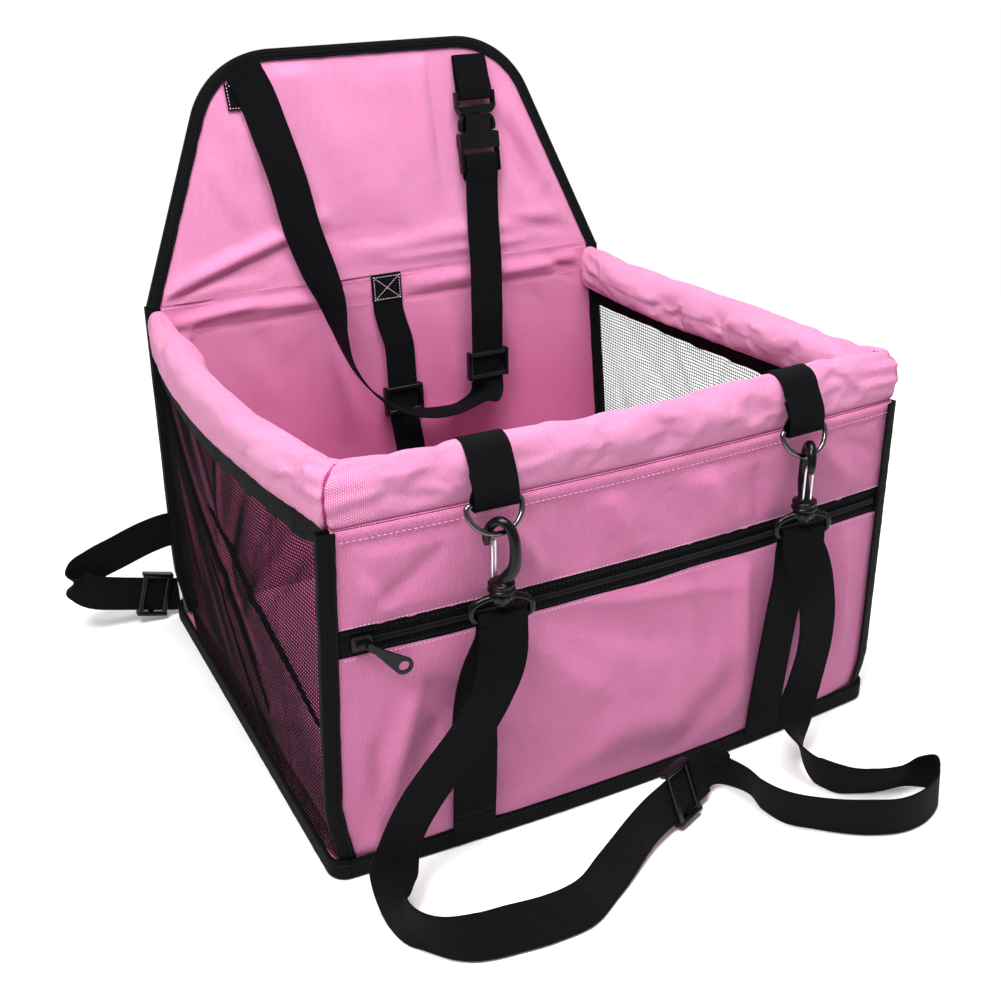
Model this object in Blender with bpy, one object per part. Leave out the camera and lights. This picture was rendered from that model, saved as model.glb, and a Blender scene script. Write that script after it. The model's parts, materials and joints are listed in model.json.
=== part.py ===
# Pet car seat bed: an open fabric box with net sides, a padded rim on rods, a tall back flap
# with a headrest strap, a zipped front pocket, and webbing straps with snap hooks.
# Metres, +Z up, +X to the right seen from the front, +Y to the back. The origin is the centre
# of the underside.
from math import atan2, cos, pi, radians, sin, sqrt

import bmesh
import bpy
from mathutils import Matrix, Vector

# Box
BASE_WIDTH = 0.400
BASE_DEPTH = 0.340
HEM_WIDTH = BASE_WIDTH - 0.017
HEM_HEIGHT = 0.227
BACK_HEM_DROP = 0.016
FRONT_LEAN = 0.004
BACK_LEAN = 0.017
FRONT_BOW = 0.008
GAP = 0.0003
FABRIC = 0.0015
BOARD = 0.002
BOTTOM_COVER = 0.0015
BASE_BOARD = 0.003
BASE_BOARD_INSET = 0.010
FLOOR_LINING = 0.004

# Padded rim and the rods in it
RIM_THICK = 0.025
RIM_HIGH = 0.034
RIM_BACK_HIGH = 0.0355
RIM_BOW = 0.010
RIM_SAG = 0.006
RIM_SQUARENESS = 2.6
ROD_RADIUS = 0.005
ROD_CLEARANCE = 0.0008
ROD_END_SETBACK = 0.014

# Edge tapes
TAPE_WIDTH = 0.0085
TAPE_THICK = 0.0015
BASE_TAPE_HIGH = 0.012
BASE_TAPE_THICK = 0.0022
BASE_CORNER_RADIUS = 0.004
NET_TAPE_HIGH = 0.008
NET_TAPE_THICK = 0.003

# Side nets
NET_THICK = 0.001
NET_INSET = 0.004
NET_STRAND = 0.005
NET_COLUMNS = 9
NET_ROWS = 7

# Back flap
FLAP_HINGE_HEIGHT = HEM_HEIGHT + 0.023
FLAP_TILT = radians(10)
FLAP_FOOT_HALF = HEM_WIDTH / 2 - 0.0025
FLAP_TOP_HALF = 0.118
FLAP_LENGTH = 0.170
FLAP_CORNER_RADIUS = 0.066
FLAP_COVER = 0.0012
FLAP_CORNER_STEPS = 8

# Zip and pocket
ZIP_HEIGHT = 0.1605
ZIP_TAPE = 0.0070
ZIP_COIL_HIGH = 0.0036
ZIP_COIL_DEEP = 0.0012
ZIP_END_INSET = 0.0092
ZIP_SLIDER_START = BASE_WIDTH / 2 - 0.0175
POCKET_BULGE = 0.005
SLIDER_LONG = 0.012
SLIDER_WIDE = 0.009
PULL_LONG = 0.031
PULL_WIDE = 0.011
PULL_THICK = 0.0014
PULL_HANG = radians(42)

# Webbing
WEBBING = 0.028
WEBBING_THICK = 0.0014
WRAP_CLEARANCE = 0.0005
FLOOR_CLEARANCE = 0.0003
LEASH_WEBBING = 0.025

# Loops, rings and snap hooks on the front rim
LOOP_WEBBING = 0.0265
FITTING_SPREAD = 0.104
FITTING_SHIFT = 0.0022
RING_BAR_Y = -BASE_DEPTH / 2 - 0.0176
RING_BAR_HEIGHT = HEM_HEIGHT + 0.0052
RING_WIDE = 0.0362
RING_HIGH = 0.0175
RING_WIRE = 0.0017
RING_CORNER = 0.0024
RING_TILT = radians(28)
RING_PLAY = 0.0035
HOOK_LONG = 0.0434
HOOK_ARM = 0.0084
HOOK_THICK = 0.0031
HOOK_COLLAR = 0.0080
HOOK_STEM = 0.0029
HOOK_ROOT = 0.0018
HOOK_FLANGE_TOP = 0.0062
HOOK_TURNS = {"left": radians(-50), "right": radians(63)}
HOOK_BASE_TURN = radians(-12)
HOOK_BASE_HIGH = 0.0165
HOOK_BASE_WIRE = 0.0023
HOOK_BOSS = 0.0065
HOOK_BOSS_HIGH = 0.0060
GATE_WIRE = 0.0008
GATE_SPREAD = 0.0022

# Strap adjusters
ADJUSTER_LONG = 0.024
ADJUSTER_DEEP = 0.0068
ADJUSTER_BAR = 0.0045
ADJUSTER_RAIL = 0.0035

# Headrest buckle
BUCKLE_X = 0.086
BUCKLE_FOOT = 0.0680
BUCKLE_WIDE = 0.0342
BUCKLE_DEEP = 0.0076
SOCKET_LONG = 0.0446
SOCKET_BODY_LOW = 0.0182
SOCKET_SHOULDER = 0.0306
SOCKET_NECK = 0.0212
SOCKET_BAR_LOW = 0.0092
PLUG_LONG = 0.0172
PLUG_BLOCK = 0.0066
BUCKLE_WALL = 0.0024
BUCKLE_SHELL = 0.0013
BUCKLE_BAR = 0.0036
BUCKLE_BAR_DEEP = 0.0044
PLUG_ARM_THICK = 0.0028
BUCKLE_STANDOFF = 0.0066

# Colours
PINK = (0.87, 0.27, 0.53)
DARK_PINK = (0.72, 0.20, 0.42)
BLACK = (0.012, 0.012, 0.014)
BOARD_GREY = (0.35, 0.33, 0.31)
WHITE_PLASTIC = (0.80, 0.80, 0.78)
NICKEL = (0.35, 0.34, 0.34)
BRIGHT_STEEL = (0.75, 0.75, 0.76)


def clear_scene():
    for obj in list(bpy.data.objects):
        bpy.data.objects.remove(obj, do_unlink=True)


def finish(obj, color, roughness=0.85, metallic=0.0):
    mat = bpy.data.materials.new(obj.name + "_finish")
    mat.use_nodes = True
    shader = mat.node_tree.nodes["Principled BSDF"]
    shader.inputs["Base Color"].default_value = (*color, 1.0)
    shader.inputs["Roughness"].default_value = roughness
    shader.inputs["Metallic"].default_value = metallic
    obj.data.materials.append(mat)
    return obj


def solid(name, verts, faces, color, roughness=0.85, metallic=0.0, origin=None, smooth=True):
    """One closed body with outward faces; origin moves the object's pivot there."""
    pivot = Vector(origin) if origin else Vector((0.0, 0.0, 0.0))
    mesh = bpy.data.meshes.new(name)
    mesh.from_pydata([tuple(Vector(v) - pivot) for v in verts], [], faces)
    bm = bmesh.new()
    bm.from_mesh(mesh)
    bmesh.ops.recalc_face_normals(bm, faces=bm.faces)
    bm.to_mesh(mesh)
    bm.free()
    if smooth:
        mesh.shade_smooth()
        mesh.set_sharp_from_angle(angle=radians(40))
    obj = bpy.data.objects.new(name, mesh)
    obj.location = pivot
    bpy.context.collection.objects.link(obj)
    return finish(obj, color, roughness, metallic)


def lerp(a, b, t):
    return a + (b - a) * t


def hump(t):
    """0 at both ends, 1 in the middle."""
    return 4.0 * t * (1.0 - t)


def steps(count):
    return [i / count for i in range(count + 1)]


# Sweeps

def loft(rings, closed=False):
    """Vertices and faces of rings of equal count, capped unless closed."""
    sides = len(rings[0])
    verts = [p for ring in rings for p in ring]
    faces = []
    spans = len(rings) if closed else len(rings) - 1
    for i in range(spans):
        a = i * sides
        b = ((i + 1) % len(rings)) * sides
        for j in range(sides):
            k = (j + 1) % sides
            faces.append((a + j, a + k, b + k, b + j))
    if not closed:
        faces.append(tuple(range(sides)))
        last = (len(rings) - 1) * sides
        faces.append(tuple(last + j for j in reversed(range(sides))))
    return verts, faces


def bored_loft(outer, inner):
    """A tube with a wall: outer and inner rings, joined at both open ends."""
    sides = len(outer[0])
    verts = [p for ring in outer for p in ring] + [p for ring in inner for p in ring]
    shift = len(outer) * sides
    faces = []
    for i in range(len(outer) - 1):
        for j in range(sides):
            k = (j + 1) % sides
            a, b = i * sides, (i + 1) * sides
            faces.append((a + j, a + k, b + k, b + j))
            faces.append((shift + a + j, shift + b + j, shift + b + k, shift + a + k))
    for end in (0, len(outer) - 1):
        for j in range(sides):
            k = (j + 1) % sides
            a = end * sides
            faces.append((a + j, a + k, shift + a + k, shift + a + j))
    return verts, faces


def ring_at(centre, u, v, profile):
    return [centre + u * a + v * b for a, b in profile]


def circle(radius, sides):
    return [(radius * cos(2 * pi * i / sides), radius * sin(2 * pi * i / sides)) for i in range(sides)]


def rectangle(width, height):
    a, b = width / 2, height / 2
    return [(-a, -b), (a, -b), (a, b), (-a, b)]


def soft_square(half_wide, half_high, power, sides):
    """Superellipse section: a padded sleeve, flatter on its faces than an ellipse."""
    points = []
    for i in range(sides):
        c, s = cos(2 * pi * i / sides), sin(2 * pi * i / sides)
        k = (abs(c) ** power + abs(s) ** power) ** (-1.0 / power)
        points.append((half_wide * c * k, half_high * s * k))
    return points


def smooth_route(points, count):
    """Smooth curve through hand-set points that doesn't swing past close ones."""
    knots = [Vector(p) for p in points]
    spans = len(knots) - 1
    reach = [max((b - a).length, 1e-6) for a, b in zip(knots, knots[1:])]
    slope = [(b - a) / d for a, b, d in zip(knots, knots[1:], reach)]
    lean = [slope[0]]
    for i in range(1, spans):
        lean.append((slope[i] * reach[i - 1] + slope[i - 1] * reach[i]) / (reach[i - 1] + reach[i]))
    lean.append(slope[-1])
    route = []
    for i in range(count + 1):
        x = i / count * spans
        k = min(int(x), spans - 1)
        t = x - k
        a = (2 * t - 3) * t * t
        route.append(knots[k] * (1 + a) - knots[k + 1] * a
                     + (lean[k] * (t - 1) + lean[k + 1] * t) * (reach[k] * t * (t - 1)))
    return route


def ribbon_rings(centres, widths, width, thickness):
    """Rectangular sections; widths gives the direction across the webbing at each centre."""
    rings = []
    for i, centre in enumerate(centres):
        ahead = centres[min(i + 1, len(centres) - 1)]
        behind = centres[max(i - 1, 0)]
        along = (ahead - behind).normalized()
        across = Vector(widths[i])
        across = (across - along * across.dot(along)).normalized()
        normal = along.cross(across)
        rings.append(ring_at(centre, across, normal, rectangle(width, thickness)))
    return rings


def rest_on_floor(ring):
    """Lifts a section whose lower edge would sink into the surface that the bed stands on."""
    sink = FLOOR_CLEARANCE - min(p.z for p in ring)
    return [p + Vector((0, 0, max(sink, 0.0))) for p in ring]


def ribbon(name, points, widths, count, width=WEBBING, thickness=WEBBING_THICK, origin=None):
    centres = smooth_route(points, count)
    across = smooth_route(widths, count)
    rings = [rest_on_floor(ring) for ring in ribbon_rings(centres, across, width, thickness)]
    verts, faces = loft(rings)
    return solid(name, verts, faces, BLACK, 0.7, origin=origin)


def tube_rings(centres, radius, sides):
    rings = []
    normal = None
    for i, centre in enumerate(centres):
        ahead = centres[min(i + 1, len(centres) - 1)]
        behind = centres[max(i - 1, 0)]
        along = (ahead - behind).normalized()
        if normal is None:
            normal = along.orthogonal().normalized()
        normal = (normal - along * normal.dot(along)).normalized()
        size = radius[i] if isinstance(radius, list) else radius
        rings.append(ring_at(centre, normal, along.cross(normal), circle(size, sides)))
    return rings


# Modifiers and joining

def cut(obj, cutter, operation="DIFFERENCE"):
    mod = obj.modifiers.new(operation.title(), "BOOLEAN")
    mod.operation = operation
    mod.solver = "EXACT"
    mod.object = cutter
    cutter.hide_render = True
    cutter.display_type = "WIRE"
    return obj


def box_mesh(name, low, high):
    x0, y0, z0 = low
    x1, y1, z1 = high
    verts = [(x0, y0, z0), (x1, y0, z0), (x1, y1, z0), (x0, y1, z0),
             (x0, y0, z1), (x1, y0, z1), (x1, y1, z1), (x0, y1, z1)]
    faces = [(0, 3, 2, 1), (4, 5, 6, 7), (0, 1, 5, 4), (1, 2, 6, 5), (2, 3, 7, 6), (3, 0, 4, 7)]
    return solid(name, verts, faces, BLACK, smooth=False)


def box_cutter(name, low, high):
    obj = box_mesh(name, low, high)
    obj.hide_render = True
    obj.display_type = "WIRE"
    return obj


def rod_mesh(name, radius, low, high, sides=16):
    rings = [ring_at(Vector((0, 0, z)), Vector((1, 0, 0)), Vector((0, 1, 0)), circle(radius, sides))
             for z in (low, high)]
    verts, faces = loft(rings)
    return solid(name, verts, faces, BLACK)


def bevel(obj, width, segments=2, angle=35):
    mod = obj.modifiers.new("Edges", "BEVEL")
    mod.width = width
    mod.segments = segments
    mod.limit_method = "ANGLE"
    mod.angle_limit = radians(angle)
    return obj


def put(obj, matrix):
    """Places a locally built piece and the cutters that shape it."""
    obj.matrix_world = matrix
    for mod in obj.modifiers:
        if mod.type == "BOOLEAN":
            put(mod.object, matrix)
    return obj


# Wall surfaces

def half_width(z):
    return lerp(BASE_WIDTH, HEM_WIDTH, z / HEM_HEIGHT) / 2


BOW_RADIUS = ((BASE_WIDTH / 2) ** 2 + FRONT_BOW ** 2) / (2 * FRONT_BOW)


def front_bow(x):
    return sqrt(BOW_RADIUS ** 2 - x * x) - sqrt(BOW_RADIUS ** 2 - (BASE_WIDTH / 2) ** 2)


def front_y(x, z):
    """Outer face of the front wall."""
    return -(BASE_DEPTH / 2 + FRONT_LEAN * z / HEM_HEIGHT) - front_bow(x)


def back_y(z):
    """Inner face of the back wall."""
    return BASE_DEPTH / 2 + BACK_LEAN * z / HEM_HEIGHT


WALL_FOOT = BOTTOM_COVER + GAP
WALL_THICK = 2 * FABRIC + BOARD + 2 * GAP
FRONT_THICK = 2 * FABRIC + GAP
RIM_X = HEM_WIDTH / 2 - RIM_THICK / 2 + 0.002
RIM_FRONT_Y = front_y(RIM_X, HEM_HEIGHT) + RIM_THICK / 2
RIM_FRONT_Z = HEM_HEIGHT + GAP + RIM_HIGH / 2
RIM_BACK_Y = back_y(HEM_HEIGHT) - TAPE_THICK - 2 * GAP
BACK_SLOPE = BACK_LEAN / HEM_HEIGHT
FRONT_SLOPE = FRONT_LEAN / HEM_HEIGHT
SIDE_SLOPE = (BASE_WIDTH - HEM_WIDTH) / 2 / HEM_HEIGHT
FLAP_FOOT_DROP = 0.0025


def side_rim_high(t):
    return lerp(RIM_HIGH, RIM_BACK_HIGH, t)


def side_rim_centre(side, t):
    """Centre line of a side sleeve, front corner to back wall; it bows out and sags."""
    x = RIM_X + RIM_BOW * hump(t)
    y = lerp(RIM_FRONT_Y, RIM_BACK_Y, t)
    z = RIM_FRONT_Z + (side_rim_high(t) - RIM_HIGH) / 2 - BACK_HEM_DROP * t - RIM_SAG * hump(t)
    return Vector((side * x, y, z))


def side_wall_point(side, t, h, offset=0.0):
    """Net surface: t runs front to back, h from the foot to the hem under the side sleeve."""
    top = side_rim_centre(side, t).z - side_rim_high(t) / 2 - GAP
    z = lerp(WALL_FOOT, top, h)
    front = front_y(half_width(z), z) + FRONT_THICK + TAPE_THICK + 2 * GAP
    back = back_y(z) - TAPE_THICK - 2 * GAP
    x = half_width(z) - NET_INSET + RIM_BOW * hump(t) * h + offset
    return Vector((side * x, lerp(front, back, t), z))


def sheet(name, point, us, vs, near, far, color, roughness=0.85):
    """A thick sheet on a surface: point(u, v, depth) gives its place at a depth."""
    nu, nv = len(us), len(vs)
    verts = [point(u, v, near) for v in vs for u in us]
    verts += [point(u, v, far) for v in vs for u in us]
    layer = nu * nv
    faces = []
    for j in range(nv - 1):
        for i in range(nu - 1):
            a = j * nu + i
            faces.append((a, a + 1, a + nu + 1, a + nu))
            faces.append((layer + a, layer + a + nu, layer + a + nu + 1, layer + a + 1))
    rim = [i for i in range(nu)] + [j * nu + nu - 1 for j in range(1, nv)]
    rim += [(nv - 1) * nu + i for i in reversed(range(nu - 1))]
    rim += [j * nu for j in reversed(range(1, nv - 1))]
    for a, b in zip(rim, rim[1:] + rim[:1]):
        faces.append((a, b, layer + b, layer + a))
    return solid(name, verts, faces, color, roughness)


# Base

def base_outline(grow, corner):
    """Plan outline of the walls' outer faces, grown outwards, with rounded corners."""
    half = BASE_WIDTH / 2 + grow
    back = BASE_DEPTH / 2 + WALL_THICK + grow
    front = front_y(half - corner, 0.0) - grow
    points = []
    for x in [lerp(-(half - corner), half - corner, t) for t in steps(8)]:
        points.append((x, front_y(x, 0.0) - grow))
    corners = [((half - corner, front + corner), -90), ((half - corner, back - corner), 0),
               ((-(half - corner), back - corner), 90), ((-(half - corner), front + corner), 180)]
    for (cx, cy), start in corners:
        inner = (30, 60) if start in (-90, 180) else (0, 30, 60, 90)
        if start == -90:
            inner = (30, 60, 90)
        if start == 180:
            inner = (0, 30, 60)
        for angle in inner:
            a = radians(start + angle)
            points.append((cx + corner * cos(a), cy + corner * sin(a)))
    return points


def plate(name, outline, low, high, color, roughness=0.85):
    count = len(outline)
    verts = [(x, y, low) for x, y in outline] + [(x, y, high) for x, y in outline]
    faces = [tuple(range(count)), tuple(reversed(range(count, 2 * count)))]
    for i in range(count):
        k = (i + 1) % count
        faces.append((i, k, count + k, count + i))
    return solid(name, verts, faces, color, roughness, smooth=False)


def make_base():
    plate("bottom_cover", base_outline(0.0, BASE_CORNER_RADIUS), 0.0, BOTTOM_COVER, DARK_PINK)
    board_low = BOTTOM_COVER + GAP
    inner = base_outline(-BASE_BOARD_INSET, BASE_CORNER_RADIUS / 2)
    plate("base_board", inner, board_low, board_low + BASE_BOARD, BOARD_GREY)
    pad_low = board_low + BASE_BOARD + GAP
    plate("floor_lining", inner, pad_low, pad_low + FLOOR_LINING, PINK)
    make_base_binding()


def wall_slope(outward):
    """How far the wall on this side leans out per metre of height."""
    lean = BACK_SLOPE if outward.y > 0 else FRONT_SLOPE
    return lean * abs(outward.y) - SIDE_SLOPE * abs(outward.x)


def make_base_binding():
    """Folded tape round the foot of the walls, leaning as they do."""
    outline = base_outline(GAP + BASE_TAPE_THICK / 2, BASE_CORNER_RADIUS)
    rings = []
    for i, (x, y) in enumerate(outline):
        ahead = Vector((*outline[(i + 1) % len(outline)], 0.0))
        behind = Vector((*outline[i - 1], 0.0))
        outward = (ahead - behind).normalized().cross(Vector((0, 0, 1)))
        up = Vector((0, 0, 1)) + outward * wall_slope(outward)
        centre = Vector((x, y, 0.0)) + up * BASE_TAPE_HIGH / 2
        rings.append(ring_at(centre, outward, up, rectangle(BASE_TAPE_THICK, BASE_TAPE_HIGH)))
    verts, faces = loft(rings, closed=True)
    solid("base_binding", verts, faces, BLACK, 0.75)


# Front wall, pocket and zip

PANEL_TOP = HEM_HEIGHT - GAP
PANEL_SIDE_INSET = 0.0026


def front_point(u, z, depth, bulge=0.0):
    x = lerp(-1.0, 1.0, u) * (half_width(z) - PANEL_SIDE_INSET)
    return Vector((x, front_y(x, z) + depth - bulge, z))


POCKET_EDGE = TAPE_WIDTH / HEM_WIDTH * 1.1


def within(value, low, high):
    return min(max((value - low) / (high - low), 0.0), 1.0)


def pocket_point(u, z, depth):
    across = within(u, POCKET_EDGE, 1.0 - POCKET_EDGE)
    up = within(z, BASE_TAPE_HIGH + 0.002, ZIP_HEIGHT - ZIP_TAPE)
    return front_point(u, z, depth, POCKET_BULGE * sqrt(hump(across)) * hump(up) ** 0.7)


def make_front_wall():
    across = steps(10)
    lining = FABRIC + GAP
    sheet("front_lining", front_point, across, [WALL_FOOT, PANEL_TOP], lining, FRONT_THICK, PINK)
    tape_top = ZIP_HEIGHT + ZIP_TAPE
    tape_foot = ZIP_HEIGHT - ZIP_TAPE
    sheet("front_panel", front_point, across, [tape_top + GAP, PANEL_TOP], 0.0, FABRIC, PINK)
    rows = [WALL_FOOT] + [lerp(BASE_TAPE_HIGH + 0.002, tape_foot - GAP, t) for t in steps(6)]
    columns = [0.0] + [lerp(POCKET_EDGE, 1.0 - POCKET_EDGE, t) for t in steps(10)] + [1.0]
    sheet("pocket_panel", pocket_point, columns, rows, 0.0, FABRIC, PINK)


def make_zip():
    """Closed zip: two tapes that meet under the coil, sewn between the panel and the pocket."""
    across = steps(10)
    tape = sheet("zip_chain", front_point, across,
                 [ZIP_HEIGHT - ZIP_TAPE, ZIP_HEIGHT + ZIP_TAPE], 0.0, FABRIC, BLACK)
    inset = ZIP_END_INSET / HEM_WIDTH
    coil_span = [lerp(inset, 1 - inset, t) for t in steps(10)]
    half = ZIP_COIL_HIGH / 2
    coil = sheet("zip_coil", front_point, coil_span, [ZIP_HEIGHT - half, ZIP_HEIGHT + half],
                 FABRIC / 2, -ZIP_COIL_DEEP, BLACK, 0.5)
    cut(tape, coil, "UNION")
    make_zip_slider()


def zip_frame():
    """Local frame of the slider at its closed end: x along the zip, y into the wall."""
    x = -ZIP_SLIDER_START + SLIDER_LONG / 2
    angle = -x / BOW_RADIUS
    place = Matrix.Translation((x, front_y(x, ZIP_HEIGHT), ZIP_HEIGHT))
    return place @ Matrix.Rotation(-angle, 4, "Z")


def make_zip_slider():
    low = -(ZIP_COIL_DEEP + GAP)
    top = low - 0.0018
    half = SLIDER_LONG / 2
    wide = SLIDER_WIDE / 2
    body = box_mesh("zip_slider", (-half, top, -wide), (half, -GAP, wide))
    coil = ZIP_COIL_HIGH / 2 + GAP
    tunnel = box_cutter("slider_tunnel", (-half - 0.001, low, -coil), (half + 0.001, 0.001, coil))
    bail = box_mesh("slider_bail", (-half * 0.55, top - 0.0030, -0.0013), (half * 0.55, top + 0.0003, 0.0013))
    eye = box_cutter("bail_eye", (-half * 0.25, top - 0.0020, -0.002), (half * 0.30, top - 0.0001, 0.002))
    bevel(body, 0.0008, 1)
    cut(body, tunnel)
    cut(body, bail, "UNION")
    cut(body, eye)
    finish_metal(body)
    put(body, zip_frame())
    make_zip_pull(top)


def finish_metal(obj, color=BLACK, roughness=0.35, metallic=0.4):
    shader = obj.data.materials[0].node_tree.nodes["Principled BSDF"]
    shader.inputs["Base Color"].default_value = (*color, 1.0)
    shader.inputs["Roughness"].default_value = roughness
    shader.inputs["Metallic"].default_value = metallic


def make_zip_pull(slider_top):
    """Teardrop tab that hangs from the slider's bail, with a round hole near its end."""
    outline = []
    narrow = 0.0022
    wide = PULL_WIDE / 2
    for i in range(9):
        a = radians(-90 + 180 * i / 8)
        outline.append((PULL_LONG - wide + wide * cos(a), wide * sin(a)))
    outline += [(0.006, narrow), (0.0, narrow), (-0.0012, 0.0), (0.0, -narrow), (0.006, -narrow)]
    pull = prism("zip_pull", outline, -PULL_THICK / 2, PULL_THICK / 2, BLACK, 0.35, 0.4)
    hole = rod_mesh("pull_hole", wide * 0.55, -0.003, 0.003, 14)
    hole.data.transform(Matrix.Translation((PULL_LONG - wide, 0, 0)) @ Matrix.Rotation(pi / 2, 4, "X"))
    cut(pull, hole)
    bevel(pull, 0.0003, 1)
    hang = Matrix.Rotation(PULL_HANG, 4, "Y")
    rest = Matrix.Translation((SLIDER_LONG / 2 * 0.30 + 0.0006, slider_top - 0.0040, 0.0))
    put(pull, zip_frame() @ rest @ hang)


# Back wall

def back_point(u, z, depth):
    x = lerp(-1.0, 1.0, u) * (half_width(z) - PANEL_SIDE_INSET)
    return Vector((x, back_y(z) + depth, z))




def make_back_wall():
    across = [0.0, 1.0]
    rows = [WALL_FOOT, FLAP_HINGE_HEIGHT - GAP]
    sheet("back_lining", back_point, across, rows, 0.0, FABRIC, PINK)
    board = FABRIC + GAP
    sheet("back_board", back_point, across, [WALL_FOOT, HEM_HEIGHT], board, board + BOARD, BOARD_GREY)
    outer = board + BOARD + GAP
    rows = [WALL_FOOT, FLAP_HINGE_HEIGHT - FLAP_FOOT_DROP]
    sheet("back_panel", back_point, across, rows, outer, outer + FABRIC, PINK)


def make_side_nets():
    for side, name in ((-1, "left"), (1, "right")):
        net_lattice("side_net_" + name, side)

        def point(t, h, depth, side=side):
            return side_wall_point(side, t, h, depth)

        half = NET_TAPE_THICK / 2
        drop = NET_TAPE_HIGH / 0.21
        sheet("net_tape_" + name, point, steps(10), [1.0 - drop, 1.0], -half, half, BLACK)


def net_lattice(name, side):
    """Knitted net as a lattice of strands; the gaps go right through."""
    def breaks(count, low, high, strand):
        pitch = (high - low) / count
        marks = []
        for i in range(count + 1):
            middle = low + i * pitch
            marks.append(max(low, middle - strand / 2))
            marks.append(min(high, middle + strand / 2))
        return marks

    depth_span = BASE_DEPTH
    top = 1.0 - (NET_TAPE_HIGH + GAP) / 0.208
    us = breaks(NET_COLUMNS, 0.0, 1.0, NET_STRAND / depth_span)
    vs = breaks(NET_ROWS, 0.0, top, NET_STRAND / HEM_HEIGHT)
    nu, nv = len(us), len(vs)
    half = NET_THICK / 2
    verts = [side_wall_point(side, u, v, -half) for v in vs for u in us]
    verts += [side_wall_point(side, u, v, half) for v in vs for u in us]
    layer = nu * nv

    def filled(i, j):
        inside = 0 <= i < nu - 1 and 0 <= j < nv - 1
        return inside and not (i % 2 == 1 and j % 2 == 1)

    faces = []
    for j in range(nv - 1):
        for i in range(nu - 1):
            if not filled(i, j):
                continue
            a = j * nu + i
            corners = [a, a + 1, a + nu + 1, a + nu]
            faces.append(tuple(corners))
            faces.append(tuple(layer + c for c in reversed(corners)))
            beside = [(i, j - 1), (i + 1, j), (i, j + 1), (i - 1, j)]
            for k, place in enumerate(beside):
                if not filled(*place):
                    p, q = corners[k], corners[(k + 1) % 4]
                    faces.append((p, q, layer + q, layer + p))
    return solid(name, verts, faces, BLACK, 0.8, smooth=False)


# Edge tapes: a folded strip with a slot that holds the layers' edge

def tape_profile(layers):
    """Across the edge (outwards positive) and through the layers (0 is the near face)."""
    web = GAP + TAPE_THICK
    arm = web - TAPE_WIDTH
    near, far = -GAP, layers + GAP
    return [(web, near - TAPE_THICK), (arm, near - TAPE_THICK), (arm, near), (GAP, near),
            (GAP, far), (arm, far), (arm, far + TAPE_THICK), (web, far + TAPE_THICK)]


def corner_tape(name, side, wall_y, top, layers):
    """Binding on one upright edge of the front or the back wall."""
    rings = []
    for z in [lerp(BASE_TAPE_HIGH + GAP, top, t) for t in steps(4)]:
        edge = half_width(z) - PANEL_SIDE_INSET
        centre = Vector((side * edge, wall_y(edge, z), z))
        outward = Vector((edge, wall_y(edge, z) - wall_y(0.99 * edge, z), 0.0))
        outward = Vector((side * 0.01 * edge, outward.y, 0.0)).normalized()
        inward = Vector((-outward.y * side, outward.x * side, 0.0))
        rings.append(ring_at(centre, outward, inward, tape_profile(layers)))
    verts, faces = loft(rings)
    solid(name, verts, faces, BLACK, 0.75)


def make_corner_tapes():
    for side, name in ((-1, "left"), (1, "right")):
        corner_tape("front_tape_" + name, side, front_y, PANEL_TOP, FRONT_THICK)
        back_top = FLAP_HINGE_HEIGHT - FLAP_FOOT_DROP
        corner_tape("back_tape_" + name, side, lambda x, z: back_y(z), back_top, WALL_THICK)


# Padded rim

def sleeve(name, centres, sides_in, ups, thick, highs, color=PINK):
    bore_profile = circle(ROD_RADIUS + ROD_CLEARANCE, 12)
    outer, bore = [], []
    for c, u, v, high in zip(centres, sides_in, ups, highs):
        outer.append(ring_at(c, u, v, soft_square(thick / 2, high / 2, RIM_SQUARENESS, 12)))
        bore.append(ring_at(c, u, v, bore_profile))
    verts, faces = bored_loft(outer, bore)
    return solid(name, verts, faces, color, 0.85)


def front_rim_centre(t):
    x = lerp(-RIM_X, RIM_X, t)
    return Vector((x, front_y(x, HEM_HEIGHT) + RIM_THICK / 2, RIM_FRONT_Z))


def rod(name, centres, radius=ROD_RADIUS):
    verts, faces = loft(tube_rings(centres, radius, 10))
    return solid(name, verts, faces, WHITE_PLASTIC, 0.5)


def make_rim():
    up = Vector((0, 0, 1))
    ts = steps(10)
    mitre = Vector((GAP, 0, 0))
    centres = [front_rim_centre(t) for t in ts]
    centres[0] += mitre
    centres[-1] -= mitre
    sides_in = [Vector((0, 1, 0)) for _ in ts]
    sides_in[0] = Vector((1, 1, 0))
    sides_in[-1] = Vector((-1, 1, 0))
    sleeve("rim_sleeve_front", centres, sides_in, [up] * len(ts), RIM_THICK, [RIM_HIGH] * len(ts))
    back = ROD_END_SETBACK / (2 * RIM_X)
    rod("rim_rod_front", [front_rim_centre(lerp(back, 1 - back, t)) for t in steps(10)])
    for side, name in ((-1, "left"), (1, "right")):
        centres = [side_rim_centre(side, t) for t in ts]
        centres[0] += Vector((0, GAP, 0))
        sides_in = [Vector((-side, 0, 0)) for _ in ts]
        sides_in[0] = Vector((-side, 1, 0))
        ups = [Vector((0, BACK_SLOPE * t, 1)) for t in ts]
        sleeve("rim_sleeve_" + name, centres, sides_in, ups, RIM_THICK, [side_rim_high(t) for t in ts])
        back = ROD_END_SETBACK / (RIM_BACK_Y - RIM_FRONT_Y)
        run = [side_rim_centre(side, lerp(back, 1 - back, t)) for t in steps(10)]
        rod("rim_rod_" + name, run)


# Back flap, built in its own frame: x across, y to the back, z up the flap

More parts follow.
